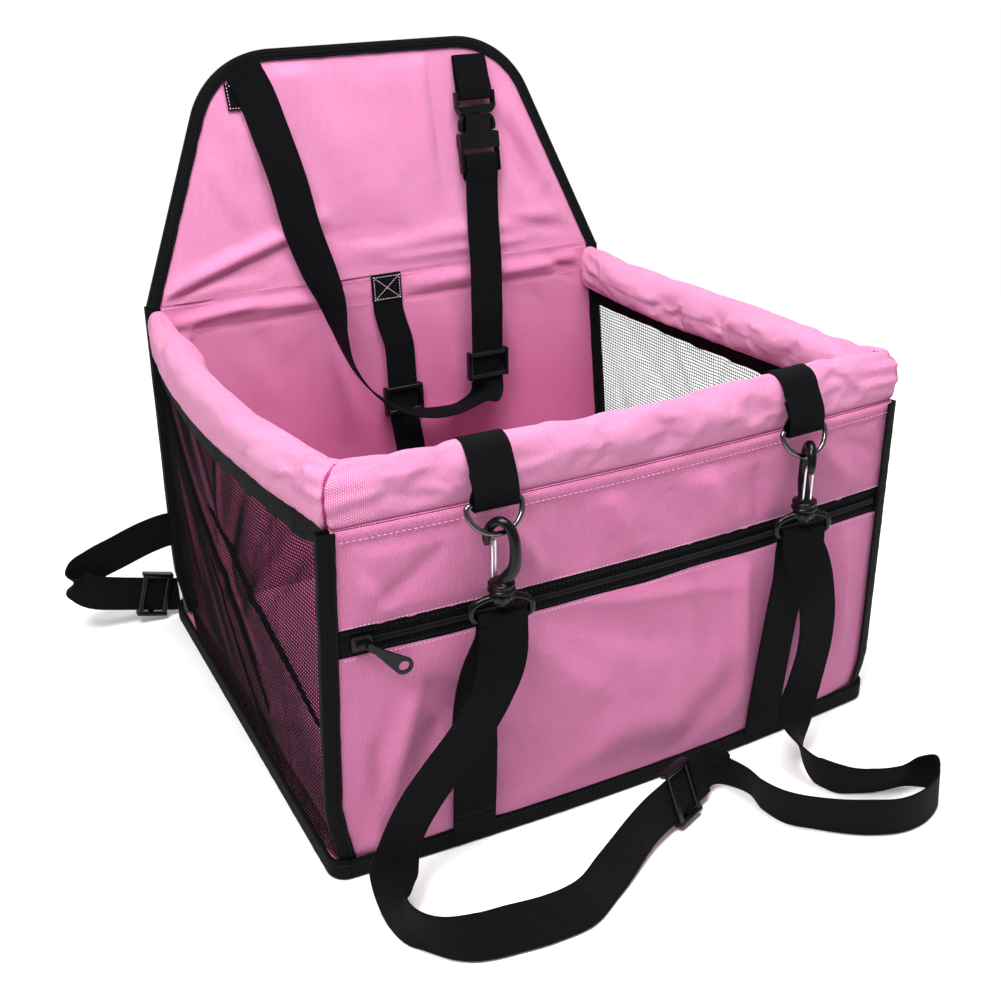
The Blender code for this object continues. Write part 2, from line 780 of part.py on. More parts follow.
HINGE_Y = back_y(FLAP_HINGE_HEIGHT)
FOLD_MIDDLE = Vector((0, HINGE_Y, FLAP_HINGE_HEIGHT))
FLAP_FRAME = Matrix.Translation(FOLD_MIDDLE) @ Matrix.Rotation(-FLAP_TILT, 4, "X")
FLAP_THICK = 2 * FLAP_COVER + BOARD + 2 * GAP
FLAP_FOOT_GAP = 0.0004


def flap_outline():
    """From the left foot round the two big corners to the right foot, as (x, s) pairs."""
    foot = Vector((FLAP_FOOT_HALF, FLAP_FOOT_GAP))
    up = (Vector((FLAP_TOP_HALF, FLAP_LENGTH)) - foot).normalized()
    out = Vector((up.y, -up.x))
    r = FLAP_CORNER_RADIUS
    reach = (FLAP_LENGTH - r - foot.y + out.y * r) / up.y
    centre = foot + up * reach - out * r
    start = atan2(out.y, out.x)
    right = [(foot.x, foot.y)]
    for t in steps(FLAP_CORNER_STEPS):
        a = lerp(start, pi / 2, t)
        right.append((centre.x + r * cos(a), centre.y + r * sin(a)))
    left = [(-x, s) for x, s in right]
    return left + list(reversed(right))


def prism(name, outline, low, high, color, roughness=0.85, metallic=0.0):
    """An outline in the XZ plane with thickness along Y."""
    count = len(outline)
    verts = [(x, low, z) for x, z in outline] + [(x, high, z) for x, z in outline]
    faces = [tuple(range(count)), tuple(reversed(range(count, 2 * count)))]
    for i in range(count):
        k = (i + 1) % count
        faces.append((i, k, count + k, count + i))
    return solid(name, verts, faces, color, roughness, metallic, smooth=False)


def flap_layer(name, low, high, color):
    return put(prism(name, flap_outline(), low, high, color), FLAP_FRAME)


def make_flap():
    flap_layer("flap_front_cover", 0.0, FLAP_COVER, PINK)
    board = FLAP_COVER + GAP
    flap_layer("flap_board", board, board + BOARD, BOARD_GREY)
    outer = board + BOARD + GAP
    flap_layer("flap_back_cover", outer, outer + FLAP_COVER, PINK)
    outline = [Vector((x, 0.0, s)) for x, s in flap_outline()]
    rings = []
    for i, point in enumerate(outline):
        behind = outline[max(i - 1, 0)]
        ahead = outline[min(i + 1, len(outline) - 1)]
        along = (ahead - behind).normalized()
        outward = Vector((0, 1, 0)).cross(along)
        if outward.dot(point - Vector((0, 0, FLAP_LENGTH / 2))) < 0:
            outward = -outward
        if i in (0, len(outline) - 1):
            outward = Vector((outward.x / abs(outward.x), 0, 0)) / abs(outward.x)
        rings.append(ring_at(point, outward, Vector((0, 1, 0)), tape_profile(FLAP_THICK)))
    verts, faces = loft(rings)
    put(solid("flap_binding", verts, faces, BLACK, 0.75), FLAP_FRAME)
    patch_low, patch_high = -GAP - WEBBING_THICK, -GAP
    corners = [(-0.1095, 0.131), (-0.0815, 0.131), (-0.0815, 0.1500), (-0.1105, 0.1500)]
    put(prism("strap_end_patch", corners, patch_low, patch_high, BLACK, 0.7), FLAP_FRAME)


def flap_world(x, depth, s):
    return FLAP_FRAME @ Vector((x, depth, s))


# Headrest strap and side-release buckle

def mirrored(points):
    """Closed outline from the right half's points, from the bottom up."""
    return points + [(-x, z) for x, z in reversed(points)]


def buckle_frame(name, rails, bar):
    """Two side rails and the bar that the webbing goes round, as boxes (low, high)."""
    half = BUCKLE_WIDE / 2 - 0.0002
    inner = BUCKLE_WIDE / 2 - BUCKLE_WALL
    deep = BUCKLE_DEEP / 2 - 0.0003
    bar_deep = BUCKLE_BAR_DEEP / 2
    pieces = [bevel(box_mesh(name + "_rail_%d" % side, (min(side * inner, side * half), -deep, rails[0]),
                             (max(side * inner, side * half), deep, rails[1])), 0.0008, 2) for side in (-1, 1)]
    pieces.append(bevel(box_mesh(name + "_bar", (-inner - 0.0008, -bar_deep, bar[0]),
                                 (inner + 0.0008, bar_deep, bar[1])), 0.0007, 2))
    return pieces


def make_buckle():
    half = BUCKLE_WIDE / 2
    deep = BUCKLE_DEEP / 2
    neck = SOCKET_NECK / 2
    cavity = half - BUCKLE_WALL - 0.0014
    room = deep - BUCKLE_SHELL
    frame = FLAP_FRAME @ Matrix.Translation((BUCKLE_X, -BUCKLE_STANDOFF, BUCKLE_FOOT))
    body = [(half - 0.0006, SOCKET_BODY_LOW), (half, SOCKET_BODY_LOW + 0.001), (half, SOCKET_SHOULDER - 0.001),
            (half - 0.0008, SOCKET_SHOULDER), (neck + 0.0012, SOCKET_SHOULDER + 0.0006),
            (neck, SOCKET_SHOULDER + 0.0022), (neck, SOCKET_LONG - 0.0006), (neck - 0.0008, SOCKET_LONG)]
    socket = prism("buckle_socket", mirrored(body), -deep, deep, BLACK, 0.35)
    cut(socket, box_cutter("socket_cavity", (-cavity, -room, SOCKET_BODY_LOW + 0.0022), (cavity, room, 0.06)))
    bar = (SOCKET_BAR_LOW, SOCKET_BAR_LOW + BUCKLE_BAR)
    for piece in buckle_frame("socket", (0.0, SOCKET_BODY_LOW + 0.0016), bar):
        cut(socket, piece, "UNION")
    put(socket, frame)
    plug_low = SOCKET_LONG + GAP
    block_top = plug_low + PLUG_BLOCK
    plug_top = plug_low + PLUG_LONG
    block = [(half - 0.0042, plug_low), (half - 0.0016, plug_low + 0.0028), (half - 0.0002, block_top - 0.0012),
             (half - 0.0005, block_top)]
    plug = prism("buckle_plug", mirrored(block), -deep, deep, BLACK, 0.35)
    bevel(plug, 0.0005, 1)
    bar = (plug_top - 0.0012 - BUCKLE_BAR, plug_top - 0.0012)
    for piece in buckle_frame("plug", (block_top - 0.0014, plug_top), bar):
        cut(plug, piece, "UNION")
    tongue = box_mesh("plug_tongue", (-0.0030, -room + 0.0006, SOCKET_SHOULDER), (0.0030, room - 0.0006, plug_low + 0.002))
    cut(plug, tongue, "UNION")
    put(plug, frame)
    for side, name in ((-1, "left"), (1, "right")):
        make_buckle_arm("buckle_arm_" + name, side, frame, SOCKET_LONG)
    return (bar[0] + bar[1]) / 2


def make_buckle_arm(name, side, frame, root):
    """Springy arm of the plug: it leaves the shoulder, bows out past the neck and ends above the socket's shoulder."""
    half = BUCKLE_WIDE / 2
    low = SOCKET_SHOULDER + 0.0012
    outline = [(0.0116, root), (0.0142, root - 0.0022), (half - 0.0016, root - 0.0050), (half - 0.0010, root - 0.0080),
               (half - 0.0012, low + 0.0016), (half - 0.0024, low), (half - 0.0046, low + 0.0002),
               (half - 0.0042, root - 0.0080), (half - 0.0048, root - 0.0052), (0.0088, root)]
    pivot = Vector((side * 0.0102, 0.0, root))
    local = [(side * x - pivot.x, z - root) for x, z in outline]
    thick = (BUCKLE_DEEP / 2 - BUCKLE_SHELL - GAP) * 0.96
    arm = prism(name, local, -thick, thick, BLACK, 0.35)
    bevel(arm, 0.0004, 1)
    put(arm, frame @ Matrix.Translation(pivot))


def wrap(centre, front, half_deep, half_high, start, end, count=8, power=4):
    """Webbing round a bar: angles from the front (0) over the top (90) to the back (180)."""
    a = half_deep + WEBBING_THICK / 2 + WRAP_CLEARANCE
    b = half_high + WEBBING_THICK / 2 + WRAP_CLEARANCE
    points = []
    for i in range(count + 1):
        angle = radians(lerp(start, end, i / count))
        c, s = cos(angle), sin(angle)
        k = (abs(c) ** power + abs(s) ** power) ** (-1 / power)
        points.append(centre + front * (a * c * k) + Vector((0, 0, 1)) * (b * s * k))
    return points


def straight(centre, along, reach):
    """Collinear points that keep a stretch of webbing straight."""
    return [centre + along * (reach * k) for k in (-1.0, -0.75, 0.0, 0.75, 1.0)]


HEADREST_ADJUSTER = Vector((0.0755, HINGE_Y - 0.0222, FLAP_HINGE_HEIGHT - 0.0830))
HEADREST_STRAIGHT = HEADREST_ADJUSTER + Vector((0, 0, 0.0105))


def headrest_right_leg():
    """Round the socket's bar, down over the fold and straight through the adjuster."""
    x, y = BUCKLE_X, -BUCKLE_STANDOFF
    bar = Vector((x, y, BUCKLE_FOOT + SOCKET_BAR_LOW + BUCKLE_BAR / 2))
    turn = wrap(bar, Vector((0, -1, 0)), BUCKLE_BAR_DEEP / 2, BUCKLE_BAR / 2, 180, 0, 12, 8)
    behind, before = turn[0], turn[-1]
    down = Vector((0, 0, -1))
    local = [behind + down * 0.016, behind + down * 0.006] + turn
    local += [before + down * 0.006, before + Vector((-0.001, 0.001, -0.018)), Vector((x - 0.003, -0.0085, 0.030))]
    drop = Vector((HEADREST_STRAIGHT.x, HEADREST_STRAIGHT.y, 0.0))
    points = [FLAP_FRAME @ p for p in local]
    points += [Vector((x - 0.0055, HINGE_Y - 0.012, FLAP_HINGE_HEIGHT - 0.002)),
               Vector((x - 0.0085, HINGE_Y - 0.0185, FLAP_HINGE_HEIGHT - 0.028)),
               drop + Vector((0.0002, 0, FLAP_HINGE_HEIGHT - 0.043))]
    return points + list(reversed(straight(HEADREST_STRAIGHT, Vector((0, 0, 1)), 0.0235)))


HEADREST_SAG = [
    # place from the middle of the flap's fold line, and the direction across the webbing
    ((0.0735, -0.0232, -0.1055), (0.92, -0.35, 0.10)),
    ((0.0600, -0.0257, -0.1115), (0.45, -0.85, 0.25)),
    ((0.0380, -0.0317, -0.1130), (0.05, -1.00, 0.12)),
    ((0.0130, -0.0357, -0.1100), (-0.02, -1.00, 0.05)),
    ((-0.0140, -0.0357, -0.1000), (-0.05, -1.00, 0.05)),
    ((-0.0330, -0.0327, -0.0830), (-0.10, -1.00, 0.05)),
    ((-0.0465, -0.0287, -0.0600), (-0.10, -1.00, 0.00)),
    ((-0.0530, -0.0247, -0.0340), (0.10, -1.00, 0.00)),
    ((-0.0560, -0.0197, -0.0100), (0.50, -0.85, 0.10)),
]
HEADREST_LEFT_LEG = [
    # across, depth and distance up the flap
    ((-0.0620, -0.0130, 0.012), (0.82, -0.55, 0.10)),
    ((-0.0700, -0.0110, 0.040), (0.93, -0.35, 0.15)),
    ((-0.0765, -0.0090, 0.080), (0.96, -0.15, 0.20)),
    ((-0.0890, -0.0060, 0.118), (0.95, -0.12, 0.30)),
    ((-0.0972, -0.0042, 0.142), (0.96, -0.05, 0.25)),
    ((-0.1000, -0.0036, 0.1525), (0.98, 0.00, 0.15)),
]


def make_headrest_strap(plug_bar):
    bar = Vector((BUCKLE_X, -BUCKLE_STANDOFF, BUCKLE_FOOT + plug_bar))
    turn = wrap(bar, Vector((0, -1, 0)), BUCKLE_BAR_DEEP / 2, BUCKLE_BAR / 2, 0, -180, 12, 8)
    tail_end = FLAP_LENGTH - TAPE_WIDTH - 0.007
    up = Vector((0, 0, 1))
    top_front, top_back = Vector((BUCKLE_X, -0.0038, tail_end)), Vector((BUCKLE_X, -0.0016, tail_end))
    local = [top_front, turn[0] + Vector((0, 0.003, 0.014)), turn[0] + up * 0.004] + turn
    local += [turn[-1] + up * 0.004, turn[-1] + Vector((0, 0.0006, 0.014)), top_back]
    ribbon("buckle_tail", [FLAP_FRAME @ p for p in local], [Vector((1, 0, 0))] * len(local), 28)
    right = headrest_right_leg()
    points = right + [FOLD_MIDDLE + Vector(p) for p, _ in HEADREST_SAG] + [flap_world(*p) for p, _ in HEADREST_LEFT_LEG]
    widths = [Vector((1, 0, 0))] * len(right) + [Vector(w) for _, w in HEADREST_SAG + HEADREST_LEFT_LEG]
    ribbon("headrest_strap", points, widths, 108)
    adjuster("headrest_adjuster", WEBBING, Matrix.Translation(HEADREST_ADJUSTER))


# Strap adjusters: side rails, two outer bars before the webbing and a middle bar behind it

def adjuster(name, webbing, place):
    inner = webbing / 2 + 0.0008
    half = inner + ADJUSTER_RAIL
    long = ADJUSTER_LONG / 2
    deep = ADJUSTER_DEEP / 2
    room = WEBBING_THICK / 2 + WRAP_CLEARANCE
    body = bevel(box_mesh(name, (-half, -deep, -long), (-inner, deep, long)), 0.0011, 2)
    other = bevel(box_mesh(name + "_rail", (inner, -deep, -long), (half, deep, long)), 0.0011, 2)
    sunk = inner + ADJUSTER_RAIL * 0.45
    shrink = 0.0004
    bars = [(-deep + shrink, -room, -long + shrink, -long + ADJUSTER_BAR),
            (-deep + shrink, -room, long - ADJUSTER_BAR, long - shrink),
            (room, deep - shrink, -ADJUSTER_BAR / 2, ADJUSTER_BAR / 2)]
    cut(body, other, "UNION")
    for i, (y0, y1, z0, z1) in enumerate(bars):
        bar = bevel(box_mesh(name + "_bar_%d" % i, (-sunk, y0, z0), (sunk, y1, z1)), 0.0007, 1)
        cut(body, bar, "UNION")
    put(body, place)


# Leash inside the box

LEASH_X = 0.0030
LEASH_PATCH_X = -0.0030
LEASH_ADJUSTER_HEIGHT = HEM_HEIGHT - 0.0810
LEASH_STRAIGHT_HEIGHT = HEM_HEIGHT - 0.0730
LEASH_STAND_OFF = 0.0046
CLIP_HEIGHT = HEM_HEIGHT - 0.1440
CLIP_STAND_OFF = 0.0074
CLIP_DEEP = 0.0070
CLIP_SLOT = 0.0070
CLIP_BAR = 0.0032
CLIP_FOOT = 0.0040
CLIP_RAIL = 0.0036


def wall_off(x, z, off):
    return Vector((x, back_y(z) - off, z))


def make_leash():
    half = LEASH_WEBBING / 2
    low, high = HEM_HEIGHT + 0.001, FLAP_HINGE_HEIGHT - 0.0012

    def patch_point(u, z, depth):
        return wall_off(lerp(LEASH_PATCH_X - half, LEASH_PATCH_X + half, u), z, depth)

    sheet("leash_patch", patch_point, [0.0, 1.0], [low, high], GAP + WEBBING_THICK, GAP, BLACK, 0.7)
    top = wall_off(LEASH_PATCH_X, low - GAP, GAP + WEBBING_THICK / 2)
    lean = Vector((0, BACK_SLOPE, 1)).normalized()
    run = wall_off(LEASH_X, LEASH_STRAIGHT_HEIGHT, LEASH_STAND_OFF)
    bar = wall_off(LEASH_X, CLIP_HEIGHT, CLIP_STAND_OFF)
    turn = wrap(bar, Vector((0, -1, 0)), CLIP_DEEP / 2, CLIP_BAR / 2, 0, -180, 10, 8)
    points = [top, wall_off(LEASH_PATCH_X, low - 0.003, 0.0011), wall_off(LEASH_PATCH_X, low - 0.006, 0.0013),
              wall_off(-0.0012, low - 0.018, 0.0024), wall_off(0.0024, low - 0.034, 0.0042)]
    points += list(reversed(straight(run, lean, 0.0225)))
    points += [turn[0] + Vector((0, 0.0015, 0.022)), turn[0] + Vector((0, 0, 0.006))] + turn
    points += [turn[-1] + Vector((0, 0.0003, 0.005)), turn[-1] + Vector((0, 0.0008, 0.013))]
    ribbon("leash_strap", points, [Vector((1, 0, 0))] * len(points), 46, LEASH_WEBBING, origin=top)
    place = Matrix.Translation(wall_off(LEASH_X, LEASH_ADJUSTER_HEIGHT, LEASH_STAND_OFF))
    adjuster("leash_adjuster", LEASH_WEBBING, place @ Matrix.Rotation(-BACK_SLOPE, 4, "X"))
    make_leash_clip(Matrix.Translation(bar) @ Matrix.Rotation(pi, 4, "X"))


def make_leash_clip(place):
    """Plain clip on the leash: webbing bar and hook in one casting, with a wire gate."""
    deep = CLIP_DEEP / 2
    top = CLIP_BAR / 2 + CLIP_SLOT
    inner = LEASH_WEBBING / 2 + 0.0007
    half = inner + CLIP_RAIL
    sunk = inner + CLIP_RAIL * 0.5
    clip = bevel(box_mesh("leash_clip", (-half, -deep, -CLIP_BAR / 2), (-inner, deep, top + CLIP_FOOT)), 0.0012, 2)
    rail = box_mesh("clip_rail", (inner, -deep, -CLIP_BAR / 2), (half, deep, top + CLIP_FOOT))
    cut(clip, bevel(rail, 0.0012, 2), "UNION")
    shrink = 0.0003
    for name, low, high in (("clip_bar", -CLIP_BAR / 2 + shrink, CLIP_BAR / 2),
                            ("clip_foot", top, top + CLIP_FOOT - shrink)):
        bar = box_mesh(name, (-sunk, shrink - deep, low), (sunk, deep - shrink, high))
        cut(clip, bevel(bar, 0.0008, 1), "UNION")
    rise = top + CLIP_FOOT / 2 - HOOK_ROOT
    lift = Matrix.Translation((0, 0, rise))
    hook = hook_arm("clip_hook")
    hook.data.transform(lift)
    cut(clip, rod_mesh("clip_collar", 0.0056, top + CLIP_FOOT * 0.4, rise + HOOK_FLANGE_TOP, 18), "UNION")
    cut(clip, hook, "UNION")
    put(clip, place)
    make_gate("gate_leash", place @ lift)


# Front rim loops, rings and snap hooks

def bow_angle(x):
    return x / BOW_RADIUS


def fitting_x(side):
    return side * FITTING_SPREAD + FITTING_SHIFT


def fitting_place(side, y, z):
    return Matrix.Translation((fitting_x(side), y, z))


def make_rim_loop(name, side):
    """Webbing over the padded rim, round the ring's bar and back up to where it is sewn."""
    x = fitting_x(side)
    centre = Vector((x, front_y(x, HEM_HEIGHT) + RIM_THICK / 2, RIM_FRONT_Z))
    a = RIM_THICK / 2 + WEBBING_THICK / 2 + WRAP_CLEARANCE
    b = RIM_HIGH / 2 + WEBBING_THICK / 2 + WRAP_CLEARANCE
    over = []
    for i in range(11):
        angle = radians(lerp(-38, 172, i / 10))
        c, s = cos(angle), sin(angle)
        k = (abs(c) ** RIM_SQUARENESS + abs(s) ** RIM_SQUARENESS) ** (-1.0 / RIM_SQUARENESS)
        over.append(centre + Vector((0, a * c * k, b * s * k)))
    bar = Vector((x, RING_BAR_Y, RING_BAR_HEIGHT))
    turn = wrap(bar, Vector((0, 1, 0)), RING_WIRE, RING_WIRE, 0, -180, 6)
    face = centre.y - a - WEBBING_THICK - WRAP_CLEARANCE
    end = [turn[-1] + Vector((0, 0.0004, 0.005)), Vector((x, face - 0.0012, RING_BAR_HEIGHT + 0.012)),
           Vector((x, face, RING_BAR_HEIGHT + 0.019))]
    route = over + [turn[0] + Vector((0, 0.0006, 0.006))] + turn + end
    across = Vector((1, bow_angle(x), 0))
    ribbon(name, route, [across] * len(route), 40, LOOP_WEBBING)


def ring_line():
    """Centre line of the D: straight bar on top, tight corners, round bow below."""
    half = RING_WIDE / 2 - RING_WIRE
    corner = RING_CORNER
    points = []
    for i in range(4):
        a = radians(90 - 30 * i)
        points.append(Vector((half - corner + corner * cos(a), 0, -corner + corner * sin(a))))
    for i in range(1, 12):
        a = radians(-180 * i / 12)
        points.append(Vector((half * cos(a), 0, -corner + (RING_HIGH - corner) * sin(a))))
    for i in range(4):
        a = radians(180 - 30 * i)
        points.append(Vector((-half + corner + corner * cos(a), 0, -corner + corner * sin(a))))
    return points


def closed_wire(name, points, radius, color, roughness, metallic, sides=8):
    """Round wire bent to a closed line in the XZ plane."""
    rings = []
    for i, p in enumerate(points):
        along = (points[(i + 1) % len(points)] - points[i - 1]).normalized()
        normal = Vector((0, 1, 0))
        rings.append(ring_at(p, normal, along.cross(normal), circle(radius, sides)))
    verts, faces = loft(rings, closed=True)
    return solid(name, verts, faces, color, roughness, metallic)


def make_ring(name, side):
    ring = closed_wire(name, ring_line(), RING_WIRE, NICKEL, 0.25, 0.9)
    turn = Matrix.Rotation(bow_angle(fitting_x(side)), 4, "Z") @ Matrix.Rotation(-RING_TILT, 4, "X")
    put(ring, fitting_place(side, RING_BAR_Y, RING_BAR_HEIGHT) @ turn)


# The hook hangs on the ring's bow with its crown a little above the wire
FITTING_Y = RING_BAR_Y - RING_HIGH * sin(RING_TILT)
RING_BOW_TOP = RING_BAR_HEIGHT - RING_HIGH * cos(RING_TILT) + RING_WIRE
HOOK_HEIGHT = RING_BOW_TOP + RING_PLAY + HOOK_THICK - HOOK_LONG


def hook_arm(name):
    """Tapered arm: out from the collar, up the back, over the crown and down to the nose."""
    w, h, t = HOOK_ARM, HOOK_LONG, HOOK_THICK
    line = [(0.0, HOOK_ROOT), (0.0, 0.0050), (w * 0.40, 0.0095), (w * 0.82, 0.0140), (w, 0.0195), (w, 0.0270),
            (w * 0.92, h - 0.0094), (w * 0.64, h - 0.0034), (0.0, h), (-w * 0.64, h - 0.0034),
            (-w * 0.94, h - 0.0088), (-w * 0.99, h - 0.0130), (-w * 0.95, h - 0.0165)]
    size = [t * k for k in (1.32, 1.30, 1.28, 1.22, 1.15, 1.08, 1.02, 1.0, 1.0, 0.97, 0.92, 0.85, 0.62)]
    verts, faces = loft(tube_rings([Vector((x, 0, z)) for x, z in line], size, 10))
    return solid(name, verts, faces, BLACK, 0.4)


def make_snap_hook(name, side):
    """Hook, ribbed collar and the stem that turns in the base."""
    collar = rod_mesh("snap_hook_" + name, HOOK_COLLAR, GAP, 0.0028, 18)
    bevel(collar, 0.0008, 1)
    parts = [rod_mesh("hook_neck_" + name, HOOK_COLLAR * 0.84, 0.0015, 0.0042, 18),
             rod_mesh("hook_flange_" + name, HOOK_COLLAR * 0.96, 0.0040, HOOK_FLANGE_TOP, 18),
             hook_arm("hook_arm_" + name),
             rod_mesh("hook_stem_" + name, HOOK_STEM, -HOOK_BOSS_HIGH - 0.0018, 0.0010, 14),
             rod_mesh("hook_head_" + name, HOOK_STEM + 0.0014, -HOOK_BOSS_HIGH - 0.0018,
                      -HOOK_BOSS_HIGH - GAP, 14)]
    for piece in parts:
        cut(collar, piece, "UNION")
    place = fitting_place(side, FITTING_Y, HOOK_HEIGHT) @ Matrix.Rotation(HOOK_TURNS[name], 4, "Z")
    put(collar, place)
    make_gate("gate_" + name, place)


def base_line():
    """Arch with a straight bar below; the webbing lies on the bar."""
    half = WEBBING / 2 + 0.0009 + HOOK_BASE_WIRE
    low = -HOOK_BASE_HIGH
    corner = 0.0040
    spring = low + 0.0068
    points = []
    for i in range(4):
        a = radians(-90 + 30 * i)
        points.append(Vector((half - corner + corner * cos(a), 0, low + corner + corner * sin(a))))
    for i in range(11):
        a = radians(180 * i / 10)
        points.append(Vector((half * cos(a), 0, spring + (-HOOK_BASE_WIRE - 0.0006 - spring) * sin(a))))
    for i in range(4):
        a = radians(180 + 30 * i)
        points.append(Vector((-half + corner + corner * cos(a), 0, low + corner + corner * sin(a))))
    return points


def make_hook_base(name, side):
    """Webbing loop of the swivel, with the boss that the hook's stem turns in."""
    base = closed_wire("hook_base_" + name, base_line(), HOOK_BASE_WIRE, BLACK, 0.4, 0.0)
    cut(base, rod_mesh("hook_boss_" + name, HOOK_BOSS, -HOOK_BOSS_HIGH, 0.0, 18), "UNION")
    cut(base, rod_mesh("hook_bore_" + name, HOOK_STEM + GAP, -HOOK_BOSS_HIGH - 0.001, 0.001, 14))
    put(base, fitting_place(side, FITTING_Y, HOOK_HEIGHT) @ Matrix.Rotation(HOOK_BASE_TURN, 4, "Z"))


def make_gate(name, place):
    """Bent wire gate: two legs and a round top that springs shut behind the nose."""
    foot = Vector((-HOOK_ARM * 0.50, 0, HOOK_FLANGE_TOP + GATE_WIRE + GAP))
    shut = Vector((-HOOK_ARM * 0.95 + HOOK_THICK * 0.98 + GATE_WIRE, 0, HOOK_LONG - 0.0122))
    rise = (shut - foot).normalized()
    y = GATE_SPREAD
    line = [foot + Vector((0, -y, 0)), foot.lerp(shut, 0.5) + Vector((0, -y, 0))]
    for i in range(5):
        a = lerp(-pi / 2, pi / 2, i / 4)
        line.append(shut + rise * (y * (cos(a) - 1.0)) + Vector((0, y * sin(a), 0)))
    line += [foot.lerp(shut, 0.5) + Vector((0, y, 0)), foot + Vector((0, y, 0))]
    verts, faces = loft(tube_rings([p - foot for p in line], GATE_WIRE, 6))
    gate = solid(name, verts, faces, BRIGHT_STEEL, 0.25, 1.0)
    put(gate, place @ Matrix.Translation(foot))


def make_front_fittings():
    for side, name in ((-1, "left"), (1, "right")):
        make_rim_loop("rim_loop_" + name, side)
        make_ring("d_ring_" + name, side)
        make_hook_base(name, side)
        make_snap_hook(name, side)


# Webbing that hangs from the hooks and lies on the floor

BASE_ACROSS = Vector((cos(HOOK_BASE_TURN), sin(HOOK_BASE_TURN), 0))
BASE_FRONT = Vector((sin(HOOK_BASE_TURN), -cos(HOOK_BASE_TURN), 0))


def hook_bar_turn(side):
    """Over the base's bar, from the back to the front."""
    bar = Vector((fitting_x(side), FITTING_Y, HOOK_HEIGHT - HOOK_BASE_HIGH))
    return wrap(bar, BASE_FRONT, HOOK_BASE_WIRE, HOOK_BASE_WIRE, 180, 0)


def before_pocket(x, z, off):
    """A point in front of the pocket panel."""
    u = (x / (half_width(z) - PANEL_SIDE_INSET) + 1.0) / 2.0
    return pocket_point(u, z, -off - WEBBING_THICK / 2)


ANCHOR_LINES = {
    # across, height and stand-off from the pocket
    "left": ((-0.1133, 0.0150, 0.0005), (-0.1133, 0.0400, 0.0010), (-0.1136, 0.0700, 0.0022),
             (-0.1148, 0.1000, 0.0048), (-0.1108, 0.1300, 0.0085)),
    "right": ((0.1032, 0.0150, 0.0005), (0.1034, 0.0400, 0.0010), (0.1040, 0.0700, 0.0022),
              (0.1045, 0.1000, 0.0048), (0.1055, 0.1300, 0.0085)),
}


def make_anchor_straps():
    for side, name in ((-1, "left"), (1, "right")):
        points = [before_pocket(x, z, off) for x, z, off in ANCHOR_LINES[name]]
        turn = hook_bar_turn(side)
        points += [turn[0] + Vector((0, 0.0006, -0.012)), turn[0] + Vector((0, 0, -0.003))] + turn
        points.append(turn[-1] + Vector((0, 0, -0.0025)))
        along = Vector((1, bow_angle(fitting_x(side)), 0))
        widths = [along] * 5 + [BASE_ACROSS] * (len(points) - 5)
        ribbon("anchor_strap_" + name, points, widths, 40)


FRONT_FOOT = Vector((0, -BASE_DEPTH / 2, 0))
LONG_STRAP_ADJUSTER = FRONT_FOOT + Vector((0.0100, -0.0490, 0.0190))
LONG_STRAP_LAY = Vector((0.926, 0.377, 0.0))
LONG_STRAP_LEAN = Vector((-0.141, 0.346, 0.928))
FALL_LEFT = [
    # place from the foot of the front wall, and the direction across the webbing
    ((-0.1026, -0.0290, 0.1460), (0.970, -0.250, -0.05)),
    ((-0.1128, -0.0330, 0.1200), (0.850, 0.000, -0.50)),
    ((-0.1270, -0.0340, 0.1010), (0.720, 0.000, -0.68)),
    ((-0.1435, -0.0340, 0.0830), (0.720, 0.000, -0.68)),
    ((-0.1595, -0.0340, 0.0640), (0.820, 0.000, -0.55)),
    ((-0.1715, -0.0345, 0.0430), (0.960, 0.050, -0.25)),
    ((-0.1800, -0.0400, 0.0230), (0.750, -0.300, 0.55)),
]
FLOOR_LEFT = [
    # place on the floor, and the direction from the lower to the upper edge
    ((-0.1830, -0.0540), (0.300, -0.450, 0.85)),
    ((-0.1800, -0.0710), (0.120, -0.250, 0.95)),
    ((-0.1700, -0.0845), (0.000, 0.050, 1.00)),
    ((-0.1550, -0.0920), (0.000, 0.300, 0.95)),
    ((-0.1330, -0.0960), (-0.050, 0.400, 0.91)),
    ((-0.1110, -0.0990), (-0.080, 0.380, 0.92)),
    ((-0.0880, -0.0970), (-0.200, 0.450, 0.88)),
    ((-0.0640, -0.0840), (-0.150, 0.520, 0.83)),
]
FLOOR_RIGHT = [
    ((0.0500, -0.0390), (-0.250, -0.100, 0.97)),
    ((0.0570, -0.0530), (-0.300, -0.120, 0.96)),
    ((0.0565, -0.0700), (-0.200, -0.150, 0.97)),
    ((0.0610, -0.0860), (-0.150, -0.050, 0.98)),
    ((0.0760, -0.1010), (-0.280, 0.050, 0.96)),
    ((0.0980, -0.1170), (-0.250, 0.080, 0.97)),
    ((0.1190, -0.1260), (-0.250, 0.000, 0.97)),
    ((0.1420, -0.1245), (-0.250, -0.050, 0.97)),
    ((0.1590, -0.1150), (-0.200, -0.100, 0.97)),
    ((0.1650, -0.1040), (0.000, -0.100, 0.99)),
    ((0.1560, -0.0980), (0.100, -0.250, 0.95)),
    ((0.1400, -0.0955), (0.140, -0.400, 0.90)),
    ((0.1240, -0.0900), (0.140, -0.430, 0.89)),
    ((0.1100, -0.0810), (0.050, -0.400, 0.90)),
    ((0.1030, -0.0670), (-0.150, -0.400, 0.88)),
]
